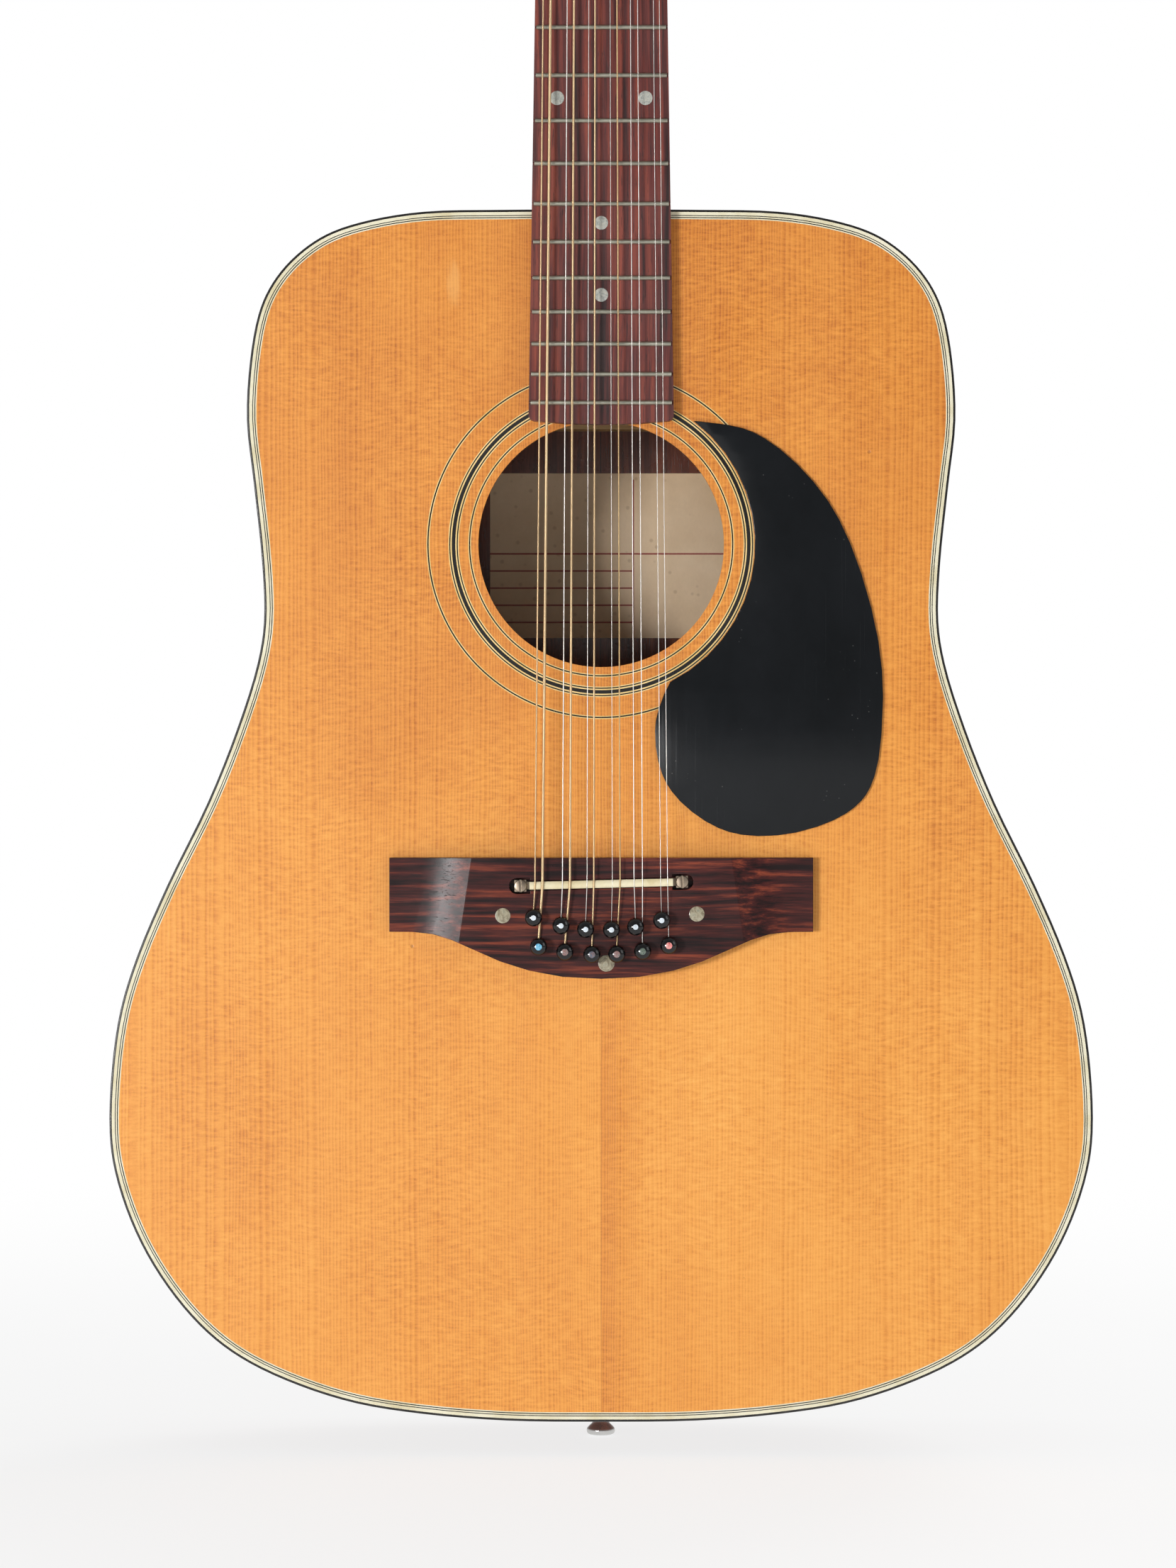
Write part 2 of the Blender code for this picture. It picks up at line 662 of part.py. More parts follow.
# a spine inside the board makes the frets one piece
spine = block((-0.55, BOARD_TOP_Y + 1.45, FRET_Z[-1] - 0.1),
              (0.55, BOARD_TOP_Y + 2.55, FRET_Z[0] + 0.1))
join(piece("frets", spine, FRETWIRE), cutter("fret_wires", together([fret(z) for z in FRET_Z])))

# ---- nut --------------------------------------------------------------------------------

STRING_NUT_Y = -66.9           # floor of the nut's slots
# strings 1 to 12 from the bass side: (x at the saddle, x at the nut, radius)
STRINGS = [
    (-27.5, -21.6, 0.345), (-24.4, -18.6, 0.595), (-16.1, -12.7, 0.23), (-13.0, -10.1, 0.495),
    (-5.9, -4.6, 0.155), (-3.1, -2.2, 0.38), (4.6, 3.0, 0.12), (7.8, 5.6, 0.29),
    (13.6, 11.0, 0.18), (17.1, 13.6, 0.18), (24.6, 19.4, 0.13), (27.5, 21.6, 0.13),
]
nut_mesh = block((-NUT_W / 2, TOP_Y - 8.6, NUT_Z + GAP), (NUT_W / 2, TOP_Y - GAP, NUT_Z + NUT_T))
nut_slots = together([
    block((x - radius - GAP, -72, NUT_Z - 2), (x + radius + GAP, STRING_NUT_Y, NUT_Z + 9))
    for _, x, radius in STRINGS])
cut(piece("nut", nut_mesh, BONE), cutter("nut_slots", nut_slots))

# ---- truss rod --------------------------------------------------------------------------

# treble half of the cover: (x, z) in the headstock's frame
COVER_OUTLINE = [(13, 2.5), (13.6, 9), (12.6, 19), (8.5, 29), (4.6, 37), (3.4, 43), (0, 45.5)]
piece("truss_rod", rod(2.4, (0, ROD_Y, 530), (0, ROD_Y, 890), 10), STEEL)
rod_nut_mesh = rod(4.0, (0, 0, -6), (0, 0, 6), 6)
cut(piece("truss_rod_nut", rod_nut_mesh, BRASS, None, (0, ROD_Y, 887)),
    cutter("rod_nut_bore", rod(2.75, (0, ROD_Y, 870), (0, ROD_Y, 905), 12)))
piece("truss_rod_cover", flat([mirrored(COVER_OUTLINE)], -1.7, -GAP), BLACK, HEAD)

# ---- bridge -----------------------------------------------------------------------------

# treble half: (x, distance below the bridge's top edge)
BELLY = [
    (88.2, 0), (88.2, 30.8), (78, 30.9), (70, 31.8), (62, 34.2),
    (52, 38.6), (42, 43.0), (30, 46.8), (16, 49.4), (0, 50.2),
]
# section of the bar that scoops a wing: (x outwards, depth), from the face to the thin wing
SCOOP = [
    (48, -12), (48, BRIDGE_T - WING_T), (20, BRIDGE_T - WING_T), (15.5, 3.9), (11.5, 3.3),
    (8.0, 2.5), (5.0, 1.65), (2.5, 0.85), (0, 0), (0, -12),
]
SCOOP_X = 54.0
SCOOP_LEAN = math.atan(12 / 80)      # outwards towards the belly
SLOT_HALF_L, SLOT_HALF_W = 31.4, 2.0
POCKET_Y = TOP_Y - 1.6               # floor of the saddle slot and its end pockets
POCKET_START, POCKET_X, POCKET_R = 29.5, 35.0, 3.3   # inner end, and the round end's centre

saddle_frame = frame("saddle_frame", (0, 0, SADDLE_Z), Matrix.Rotation(-SADDLE_TILT, 4, "Y"))
bridge_loop = mirrored([(x, BRIDGE_Z_TOP - drop) for x, drop in BELLY])
bridge = piece("bridge", flat([bridge_loop], BRIDGE_FACE_Y, TOP_Y - GAP), ROSEWOOD)
for side_name, side in SIDES:
    scoop = drawn([[(x * side, y) for x, y in SCOOP]], -60, 60, Matrix.Identity(4))
    cut(bridge, cutter(f"wing_scoop_{side_name}", scoop, None,
                       (SCOOP_X * side, BRIDGE_FACE_Y, BRIDGE_Z_TOP),
                       (0, -SCOOP_LEAN * side, 0)))
saddle_slot = flat([tapered(SLOT_HALF_L, -SLOT_HALF_W, SLOT_HALF_L, SLOT_HALF_W)],
                   CLEAR_Y, POCKET_Y)
cut(bridge, pin_holes, cutter("saddle_slot", saddle_slot, saddle_frame))
pocket_end = arc(POCKET_X, 0, POCKET_R, -math.pi / 2, math.pi / 2, 10)
pocket_loop = [(POCKET_START, -POCKET_R)] + pocket_end + [(POCKET_START, POCKET_R)]
for side_name, side in SIDES:
    pocket = flat([[(x * side, z) for x, z in pocket_loop]], CLEAR_Y, POCKET_Y)
    cut(bridge, cutter(f"pocket_{side_name}", pocket, saddle_frame))

# ---- saddle, its carrier and height screws ------------------------------------------------

SADDLE_HALF, SADDLE_HALF_T = 29.8, 1.6
SCREW_X = 33.6
LUG_HALF = 2.45
CARRIER_HALF = SCREW_X + LUG_HALF
# (y, z), its outer edge chamfered
SADDLE_SECTION = [
    (-63.2, -SADDLE_HALF_T), (-70.4, -SADDLE_HALF_T), (SADDLE_TOP_Y, -0.8),
    (SADDLE_TOP_Y, 0.8), (-70.4, SADDLE_HALF_T), (-63.2, SADDLE_HALF_T),
]
piece("saddle", across(SADDLE_SECTION, -SADDLE_HALF, SADDLE_HALF), BONE, saddle_frame)

screw_places = [side * SCREW_X for _, side in SIDES]
carrier_mesh = block((-CARRIER_HALF, -62.9, -SADDLE_HALF_T), (CARRIER_HALF, -61.9, SADDLE_HALF_T))
carrier = piece("saddle_carrier", carrier_mesh, NICKEL, saddle_frame)
join(carrier, cutter("carrier_lugs", together([
    block((x - LUG_HALF, -66.4, -LUG_HALF), (x + LUG_HALF, -61.95, LUG_HALF))
    for x in screw_places]), saddle_frame))
cut(carrier, cutter("carrier_threads", together([
    rod(1.9, (x, -75, 0), (x, -58, 0), 10) for x in screw_places]), saddle_frame))


def saddle_screw(name, x):
    """A slotted round head on a plain shank."""
    place = (x, 0, 0)
    screw = piece(name, rod(2.6, (0, -67.9, 0), (0, -66.7, 0)), NICKEL, saddle_frame, place)
    shank = rod(1.5, (0, -67.2, 0), (0, -60.9, 0), 8)
    join(screw, cutter(f"{name}_shank", shank, saddle_frame, place))
    slot = block((-0.35, -69, -4), (0.35, -67.2, 4))
    cut(screw, cutter(f"{name}_slot", slot, saddle_frame, place))


for side_name, side in SIDES:
    saddle_screw(f"saddle_screw_{side_name}", side * SCREW_X)

# ---- bridge pins: each row linked by a wire inside the body -------------------------------

PIN_LINK_Y = -45.6
# (radius, y) from the inner tip to the head
PIN_PROFILE = [
    (0, -44.4), (1.3, -44.4), (1.7, -54.0), (1.7, BRIDGE_FACE_Y + 0.6),
    (1.45, BRIDGE_FACE_Y - 0.1), (1.45, BRIDGE_FACE_Y - 2.9), (3.0, BRIDGE_FACE_Y - 3.3),
    (3.6, BRIDGE_FACE_Y - 4.9), (2.9, BRIDGE_FACE_Y - 6.7), (1.4, BRIDGE_FACE_Y - 7.5),
    (0, BRIDGE_FACE_Y - 7.5),
]


def pin(x, z):
    mesh = screwed([(radius, y, 0) for radius, y in PIN_PROFILE], "Y", 8)
    mesh.transform(Matrix.Translation(Vector((x, 0, z + PIN_SET)) * MM))
    return mesh


for name, row in (("bridge_pins_front", FRONT_PINS), ("bridge_pins_back", BACK_PINS)):
    link = wire([(x, PIN_LINK_Y, z + PIN_SET) for x, z in row], 0.7, 0)
    join(piece(name, link, BLACK),
         cutter(f"{name}_turned", together([pin(x, z) for x, z in row])))

# ---- strings: linked by a wire inside the body --------------------------------------------

STRING_LINK_Y, STRING_END_Y = -51.9, -52.0
LINK_TURN = [(33, STRING_LINK_Y, 222.5), (34, STRING_LINK_Y, 217.5)]   # from row to row
head_matrix = HEAD.matrix_world.copy()


def string_tube(i, saddle_x, nut_x, radius, pin_x, pin_z):
    """A string from its pin over the saddle and the nut to the side of its post."""
    lift = GAP + radius
    side = -1 if i < 6 else 1
    post_z = POST_Z + POST_PITCH * min(i, 11 - i)
    at_post = Vector((side * (POST_X - POST_R - lift), -3.5, post_z))
    return wire([
        (pin_x, STRING_END_Y, pin_z + STRING_SET),
        (pin_x, BRIDGE_FACE_Y - lift, pin_z + STRING_SET + 0.05),
        (saddle_x, SADDLE_TOP_Y - lift, SADDLE_Z + saddle_x * math.tan(SADDLE_TILT)),
        (nut_x, STRING_NUT_Y - lift, NUT_Z - 0.3),
        (nut_x, STRING_NUT_Y - lift, NUT_Z + NUT_T + 0.6),
        tuple(head_matrix @ (at_post * MM) / MM)], radius)


def link_row(row):
    return [(x, STRING_LINK_Y, z + STRING_SET) for x, z in row]


string_pins = [place for pair in zip(FRONT_PINS, BACK_PINS) for place in pair]
tubes = [string_tube(i, *STRINGS[i], *string_pins[i]) for i in range(12)]
string_link = wire(link_row(FRONT_PINS) + LINK_TURN + link_row(BACK_PINS[::-1]), 0.6)
join(piece("strings", string_link, STEEL), cutter("string_tubes", together(tubes)))

# ---- tuning machines ----------------------------------------------------------------------

GEAR_TEETH, GEAR_TIP_R, GEAR_ROOT_R, GEAR_PITCH_R = 14, 5.5, 4.2, 4.9
GEAR_LOW, GEAR_HIGH = 19.2, 22.2     # y of the gear's two faces
WORM_Y = (GEAR_LOW + GEAR_HIGH) / 2.0
WORM_RISE = 7.0                      # worm axis above the gear axis
WORM_TIP_R, WORM_SHAFT_R = 2.4, 1.4
WORM_LEAD = 2.0 * math.pi * GEAR_PITCH_R / GEAR_TEETH
PLATE_X, PLATE_HALF = 28.0, 9.5
EAR_X, EAR_HALF_T, EAR_HALF_H = (-6.5, 6.5), 0.6, 3   # places from the post, half sizes
BUTTON_X, BUTTON_RADII = 23.5, (7.8, 4.2, 8.4)        # the key's oval button


def tuner_plate(name, side):
    """A flat plate with two ears for each worm, and holes for the posts and worm shafts."""
    row = [place for place in POSTS if place[0] * side > 0]
    x = side * PLATE_X
    base = block((x - PLATE_HALF, VENEER_T + HEAD_T + GAP, 27), (x + PLATE_HALF, 17.8, 171))
    ears = together([
        block((x + ear - EAR_HALF_T, 17.2, z + WORM_RISE - EAR_HALF_H),
              (x + ear + EAR_HALF_T, 24.2, z + WORM_RISE + EAR_HALF_H))
        for x, z in row for ear in EAR_X])
    holes = together(
        [rod(3.6, (x, 10, z), (x, 30, z), 10) for x, z in row]
        + [rod(2.0, (x - 12, WORM_Y, z + WORM_RISE), (x + 12, WORM_Y, z + WORM_RISE), 6)
           for x, z in row])
    plate = piece(name, base, NICKEL, HEAD)
    join(plate, cutter(f"{name}_ears", ears, HEAD))
    cut(plate, cutter(f"{name}_holes", holes, HEAD))


def gear_loop():
    loop = []
    for i in range(GEAR_TEETH):
        for radius, half in ((GEAR_TIP_R, 0), (GEAR_ROOT_R, 0.5)):
            angle = 2 * math.pi * (i + half) / GEAR_TEETH + math.pi / 2
            loop.append((radius * math.cos(angle), radius * math.sin(angle)))
    return loop


def worm_thread():
    """Three turns of triangular section, placed so that the gear's tooth lies between turns."""
    start = -1.5 * WORM_LEAD
    profile = [(start - 0.9, 0, -1.0), (start, 0, -WORM_TIP_R), (start + 0.9, 0, -1.0)]
    return screwed(profile, "X", 6, 3, WORM_LEAD)


def oval_button(side):
    bm = bmesh.new()
    scale = Matrix.Diagonal((*(Vector(BUTTON_RADII) * MM), 1))
    bmesh.ops.create_uvsphere(
        bm, u_segments=8, v_segments=5, radius=1.0,
        matrix=Matrix.Translation(Vector((BUTTON_X * side, 0, 0)) * MM) @ scale)
    return mesh_from(bm)


def tuner(number, x, z):
    """A post with its gear, and a key: shaft, worm and button."""
    place = (x, 0, z)
    gear = flat([gear_loop()], GEAR_LOW, GEAR_HIGH)
    shaft = rod(POST_R, (0, -14, 0), (0, 20.4, 0), 8)
    join(piece(f"tuner_post_{number}", gear, NICKEL, HEAD, place),
         cutter(f"post_shaft_{number}", shaft, HEAD, place))
    side = 1 if x > 0 else -1
    place = (x, WORM_Y, z + WORM_RISE)
    start, end = sorted((-7.6 * side, 17.5 * side))
    key_shaft = rod(WORM_SHAFT_R, (start, 0, 0), (end, 0, 0), 8)
    join(piece(f"tuner_key_{number}", key_shaft, NICKEL, HEAD, place),
         cutter(f"worm_{number}", worm_thread(), HEAD, place),
         cutter(f"button_{number}", oval_button(side), HEAD, place))


for side_name, side in SIDES:
    tuner_plate(f"tuner_plate_{side_name}", side)
for i, (x, z) in enumerate(POSTS):
    tuner(f"{i + 1:02d}", x, z)

bpy.context.view_layer.update()
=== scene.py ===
"""Looks for the twelve-string acoustic guitar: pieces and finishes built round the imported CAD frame.

The guitar stands on its tail: +Z runs up the neck, the soundboard faces -Y, the treble side is +X.
Lengths are millimetres, except in shaders, lights and camera, which are in metres. Shapes here are
finer versions of the CAD solids, or surface detail that the CAD solids do not carry.
"""

import math

import bmesh
import bpy
from mathutils import Matrix, Vector


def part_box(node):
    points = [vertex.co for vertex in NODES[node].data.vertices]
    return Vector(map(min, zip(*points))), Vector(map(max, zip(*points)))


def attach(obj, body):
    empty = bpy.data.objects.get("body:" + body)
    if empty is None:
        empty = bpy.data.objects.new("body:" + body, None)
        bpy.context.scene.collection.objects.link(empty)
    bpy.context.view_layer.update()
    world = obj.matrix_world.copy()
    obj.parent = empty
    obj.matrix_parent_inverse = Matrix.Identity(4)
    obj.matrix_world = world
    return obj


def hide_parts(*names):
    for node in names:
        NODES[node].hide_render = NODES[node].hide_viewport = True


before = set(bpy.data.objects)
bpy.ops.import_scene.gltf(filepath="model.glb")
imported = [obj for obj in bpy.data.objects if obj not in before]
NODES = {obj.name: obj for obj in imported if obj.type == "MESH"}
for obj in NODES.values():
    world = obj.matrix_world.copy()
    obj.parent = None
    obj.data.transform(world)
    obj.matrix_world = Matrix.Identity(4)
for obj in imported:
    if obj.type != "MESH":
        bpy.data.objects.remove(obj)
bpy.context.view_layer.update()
MM = 0.001
ROOT = "guitar"

# ---- measures ------------------------------------------------------------------------------------


def low(node, axis):
    return getattr(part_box(node)[0], axis) / MM


def high(node, axis):
    return getattr(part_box(node)[1], axis) / MM


def move(x, y, z):
    """A translation by millimetres."""
    return Matrix.Translation(Vector((x, y, z)) * MM)


TOP_Y = low("soundboard", "y")            # outer face of the soundboard
TAIL_Z, BODY_TOP_Z = low("top_binding", "z"), high("top_binding", "z")
BOARD_TOP_Y = low("fingerboard", "y")     # playing face of the fingerboard
BRIDGE_FACE_Y = low("bridge", "y")
SADDLE_TOP_Y = low("saddle", "y")
NUT_Z = high("fingerboard", "z")
NUT_T = 5.4
SOUNDHOLE_R, SOUNDHOLE_Z = 51.25, 379.1
SCALE_LENGTH = 634.0
HEAD_TILT = math.radians(14.0)
# the headstock's own frame: Z up its face, Y out of its back
HEAD = move(0, TOP_Y - 1.5, NUT_Z + NUT_T + 0.7) @ Matrix.Rotation(-HEAD_TILT, 4, "X")
SADDLE_Z, SADDLE_TILT = 237.6, math.radians(1.43)
SADDLE_FRAME = move(0, 0, SADDLE_Z) @ Matrix.Rotation(-SADDLE_TILT, 4, "Y")

POST_X, POST_Z, POST_PITCH, POST_R = 27.0, 36.0, 24.0, 3.0
POSTS = [(side * POST_X, POST_Z + POST_PITCH * i) for side in (-1, 1) for i in range(6)]
# each row of bridge pins bows away from the tail towards its ends
FRONT_PINS = [(x, 219.4 + 0.0064 * x * x) for x in (-28.1, -16.7, -6.5, 4.2, 14.2, 25.0)]
BACK_PINS = [(x, 209.2 + 0.0048 * x * x) for x in (-26.0, -15.1, -3.9, 6.4, 17.1, 28.0)]
# strings from the bass side: x at the saddle, x at the nut, radius, look
STRINGS = [
    (-27.5, -21.6, 0.345, "bronze_wound"), (-24.4, -18.6, 0.595, "bronze_wound"),
    (-16.1, -12.7, 0.23, "plain_steel"), (-13.0, -10.1, 0.495, "bronze_wound"),
    (-5.9, -4.6, 0.155, "plain_steel"), (-3.1, -2.2, 0.38, "bronze_wound"),
    (4.6, 3.0, 0.12, "plain_steel"), (7.8, 5.6, 0.29, "silver_wound"),
    (13.6, 11.0, 0.18, "plain_steel"), (17.1, 13.6, 0.18, "plain_steel"),
    (24.6, 19.4, 0.13, "plain_steel"), (27.5, 21.6, 0.13, "plain_steel"),
]


def back_plane():
    """Outer face of the back as a function of z: it slopes from the tail to the neck."""
    points = [v.co / MM for v in NODES["back_binding"].data.vertices]
    tail = max(p.y for p in points if p.z < TAIL_Z + 0.5)
    neck = max(p.y for p in points if p.z > BODY_TOP_Z - 0.5)
    return lambda z: tail + (neck - tail) * (z - TAIL_Z) / (BODY_TOP_Z - TAIL_Z)


back_y = back_plane()

# ---- material tools ------------------------------------------------------------------------------

LOOKS = {}     # every material by the name it is given, filled in as each is made


def srgb(tone):
    """A screen tone, 0 to 255, as linear light."""
    return tuple((c / 255 / 12.92) if c <= 10 else ((c / 255 + 0.055) / 1.055) ** 2.4 for c in tone)


def shifted(tone, red, green, blue):
    """A screen tone moved by an amount in each channel."""
    return tuple(min(255, max(0, c + step)) for c, step in zip(tone, (red, green, blue)))


def grain_scale(axis, across, along, deep=1.0):
    """A texture scale that differs along one axis. deep is a further factor in y."""
    scale = [across, across * deep, across]
    scale["xyz".index(axis)] = along
    return tuple(scale)


class Look:
    """A procedural material. Its tools add nodes and return output sockets.

    A texture scale is one number or three, in cells per metre of object space. Tones are screen
    tones. edge is the radius in mm of worn edges in the shading.
    """

    def __init__(self, name, metallic=0.0, coat=0.0, coat_roughness=0.1, shine=0.5, edge=0.0):
        self.mat = LOOKS[name] = bpy.data.materials.new(name)
        self.mat.use_nodes = True
        self.tree = self.mat.node_tree
        self.shader = self.tree.nodes["Principled BSDF"]
        for key, value in (("Metallic", metallic), ("Coat Weight", coat), ("IOR", 1.5),
                           ("Coat Roughness", coat_roughness), ("Specular IOR Level", shine)):
            self.shader.inputs[key].default_value = value
        self.base = None     # coordinates that stand in for the object's own
        self.edge = None
        if edge:
            bevel = self.node("Bevel", {"Radius": edge * MM}, samples=4)
            self.edge = bevel.outputs["Normal"]

    def node(self, kind, inputs, **settings):
        made = self.tree.nodes.new("ShaderNode" + kind)
        for key, value in settings.items():
            setattr(made, key, value)
        for key, value in inputs.items():
            self.feed(made, key, value)
        return made

    def feed(self, node, key, value):
        socket = node.inputs[key]
        if isinstance(value, bpy.types.NodeSocket):
            self.tree.links.new(value, socket)
        elif hasattr(value, "__len__") and len(value) == 3 and socket.type == "RGBA":
            socket.default_value = (*value, 1.0)
        else:
            socket.default_value = value

    def place(self, scale=1, turn=(0, 0, 0), shift=(0, 0, 0)):
        """Object coordinates, scaled, then turned, then shifted."""
        source = self.base or self.node("TexCoord", {}).outputs["Object"]
        scale = scale if hasattr(scale, "__len__") else (scale,) * 3
        return self.node("Mapping", {"Vector": source, "Scale": scale, "Rotation": turn,
                                     "Location": shift}).outputs["Vector"]

    def split(self, vector):
        made = self.node("SeparateXYZ", {"Vector": vector})
        return made.outputs["X"], made.outputs["Y"], made.outputs["Z"]

    def join(self, x, y, z):
        return self.node("CombineXYZ", {"X": x, "Y": y, "Z": z}).outputs["Vector"]

    def noise(self, where, detail=2.0, rough=0.5, twist=0.0, **placing):
        """Noise at a texture scale, or at coordinates."""
        if not isinstance(where, bpy.types.NodeSocket):
            where = self.place(where, **placing)
        return self.node("TexNoise", {"Vector": where, "Scale": 1.0, "Detail": detail,
                                      "Roughness": rough, "Distortion": twist}).outputs["Fac"]

    def cells(self, scale, **placing):
        """Distance to the nearest of scattered points."""
        vector = self.place(scale, **placing)
        return self.node("TexVoronoi", {"Vector": vector, "Scale": 1.0}).outputs["Distance"]

    def calc(self, operation, *values):
        inputs = dict(enumerate((*values, 0.0, 0.0)[:3]))
        return self.node("Math", inputs, operation=operation).outputs[0]

    def add(self, first, second):
        return self.calc("ADD", first, second)

    def times(self, first, second):
        return self.calc("MULTIPLY", first, second)

    def times_add(self, first, second, extra):
        """first * second + extra"""
        return self.calc("MULTIPLY_ADD", first, second, extra)

    def distance(self, first, second):
        """Length of a vector with these two parts."""
        squares = self.times(first, first), self.times(second, second)
        return self.calc("SQRT", self.add(*squares))

    def span(self, value, start=0.3, end=0.7, to=(0.0, 1.0)):
        """value between start and end, smoothly mapped to the range to."""
        inputs = {"Value": value, "From Min": start, "From Max": end, "To Min": to[0],
                  "To Max": to[1]}
        return self.node("MapRange", inputs, interpolation_type="SMOOTHSTEP").outputs["Result"]

    def mix(self, factor, under, over, mode="MIX"):
        inputs = {0: factor, 6: under, 7: over}
        return self.node("Mix", inputs, data_type="RGBA", blend_type=mode).outputs[2]

    def stain(self, under, mask, tone, amount=None):
        """A tone laid over a colour where mask is high."""
        if amount is not None:
            mask = self.times(mask, amount)
        return self.mix(mask, under, srgb(tone))

    def ramp(self, factor, *stops):
        """A colour ramp of (position, linear colour)."""
        made = self.node("ValToRGB", {"Fac": factor})
        elements = made.color_ramp.elements
        while len(elements) < len(stops):
            elements.new(0.5)
        for element, (position, colour) in zip(elements, stops):
            element.position = position
            element.color = (*colour, 1.0)
        return made.outputs["Color"]

    def shades(self, factor, *stops):
        """A colour ramp of (position, tone)."""
        return self.ramp(factor, *[(position, srgb(tone)) for position, tone in stops])

    def dim(self, colour, factor, gain):
        """colour multiplied by a grey that runs over the range gain with factor."""
        grey = self.times_add(factor, gain[1] - gain[0], gain[0])
        return self.mix(1.0, colour, self.join(grey, grey, grey), "MULTIPLY")

    def colour(self, value):
        self.feed(self.shader, "Base Color", value)

    def rough(self, value):
        self.feed(self.shader, "Roughness", value)

    def relief(self, height, depth, after=None, strength=1.0):
        """A bump of depth mm. after is an earlier relief that it adds to."""
        inputs = {"Height": height, "Distance": depth * MM, "Strength": strength}
        under = after or self.edge
        if under is not None:
            inputs["Normal"] = under
        normal = self.node("Bump", inputs).outputs["Normal"]
        self.feed(self.shader, "Normal", normal)
        return normal


# ---- materials -----------------------------------------------------------------------------------


def spruce_top():
    """Lacquered spruce, aged orange: bookmatched growth rings, cross silk, soft blotches."""
    look = Look("spruce_top", coat=0.08, coat_roughness=0.34)
    x, y, z = look.split(look.place())
    half = look.calc("ABSOLUTE", x)

    def weigh(value, weight, middle=0.5):
        return look.times(look.calc("SUBTRACT", value, middle), weight)

    def total(first, *others):
        for value in others:
            first = look.add(first, value)
        return first

    # growth rings: spacing that wanders and widens away from the centre seam
    drift = look.noise((9, 1, 1.6))
    waver = look.noise((90, 1, 34), shift=(2, 0, 5))
    across = look.times_add(drift, 0.010, look.times_add(waver, 0.0011, half))
    irregular = look.noise(look.join(look.times(across, 70), 0, 0))
    rings = look.times_add(across, 840, look.times(look.times(across, across), -1100))
    rings = look.times_add(irregular, 7.0, rings)
    phase = look.calc("FRACT", rings)
    late = look.times(look.span(phase, 0.18, 0.78), look.span(phase, 0.82, 1.0, to=(1, 0)))
    each = look.noise(look.join(look.times(look.calc("FLOOR", rings), 0.73), 3.1, 0), detail=1)
    late = look.times(late, look.span(each, to=(0.62, 1.0)))
    # broad colour changes
    bands = look.noise(look.join(look.times(across, 42), 5, look.times(z, 0.6)), detail=3)
    blotch = look.noise((5.5, 1, 3.6), detail=3, rough=0.55, shift=(3, 0, 1))
    clouds = look.noise((24, 1, 15), detail=4, rough=0.6, shift=(1, 0, 4))
    # silk: short level flecks that follow a slow wave, stronger in places
    warp = look.noise((12, 1, 14), shift=(7, 0, 2))
    silk_z = look.times_add(warp, 9.0, look.times(z, 760))
    silk = look.noise(look.join(look.times(x, 170), 0, silk_z), rough=0.6)
    wide_z = look.times_add(warp, 4.0, look.times(z, 210))
    wide = look.noise(look.join(look.times(x, 36), 4, wide_z))
    where = look.span(look.noise((11, 1, 8), shift=(1, 0, 9)), 0.34, 0.66)
    fleck = look.times(total(weigh(silk, 0.56), weigh(wide, 0.18)),
                       look.times_add(where, 0.55, 0.40))
    fibre = look.noise((2600, 1, 210), rough=0.6)
    grit = look.noise((1500, 1, 1500), detail=1, shift=(4, 0, 3))
    broken = look.span(silk, 0.30, 0.62, to=(1.0, 0.55))
    # a darker strip low on the top, on the treble side of the seam
    below = look.span(z, 0.17, 0.215, to=(1, 0))
    beside = look.times(look.calc("GREATER_THAN", x, 0.0), look.span(x, 0.0, 0.024, to=(1, 0)))
    # the last term is painted light: the top is darker towards the neck and paler towards the tail, as
    # the lamps' light falls off
    tone = total(0.53, weigh(blotch, 0.50), weigh(clouds, 0.28), weigh(bands, 0.12), fleck,
                 weigh(fibre, 0.16), weigh(grit, 0.14),
                 weigh(look.times(late, broken), -0.25, middle=0.3),
                 weigh(look.times(below, beside), -0.16, middle=0.0),
                 weigh(look.span(z, 0.12, 0.50, to=(1, 0)), 0.26, middle=0.75))
    # from late wood to the palest early wood
    base = look.shades(tone, (0.10, (172, 90, 24)), (0.36, (209, 127, 43)),
                       (0.56, (229, 150, 59)), (0.76, (241, 167, 75)), (0.95, (250, 188, 100)))
    seam = look.span(half, 0.00005, 0.0003, to=(0.30, 0.0))
    base = look.stain(base, seam, (150, 78, 28))
    # a paler patch in the upper bass bout, and a scatter of small dings
    patch_x, patch_y, patch_z = look.split(look.place((250, 1, 88), shift=(15.4, 0, -42.95)))
    far = look.times_add(look.noise((420, 1, 160)), 0.9, look.distance(patch_x, patch_z))
    base = look.stain(base, look.span(far, 0.75, 1.5, to=(0.42, 0.0)), (240, 178, 100))
    dings = look.cells((34, 1, 29), shift=(0.4, 0, 0.7))
    dings = look.span(dings, 0.012, 0.03, to=(1, 0))
    look.colour(look.stain(base, dings, (140, 78, 40), amount=0.5))
    haze = look.noise((14, 1, 10), detail=4, rough=0.6)
    scuff = look.noise((60, 1, 900), detail=3, rough=0.7, turn=(0, 0.5, 0))
    look.rough(look.add(look.span(haze, to=(0.36, 0.48)), look.times(scuff, 0.05)))
    first = look.relief(look.calc("SUBTRACT", look.times(fibre, 0.4), late), depth=0.025)
    second = look.relief(look.noise((38, 1, 38)), depth=0.08, after=first)
    look.relief(dings, depth=-0.12, after=second)


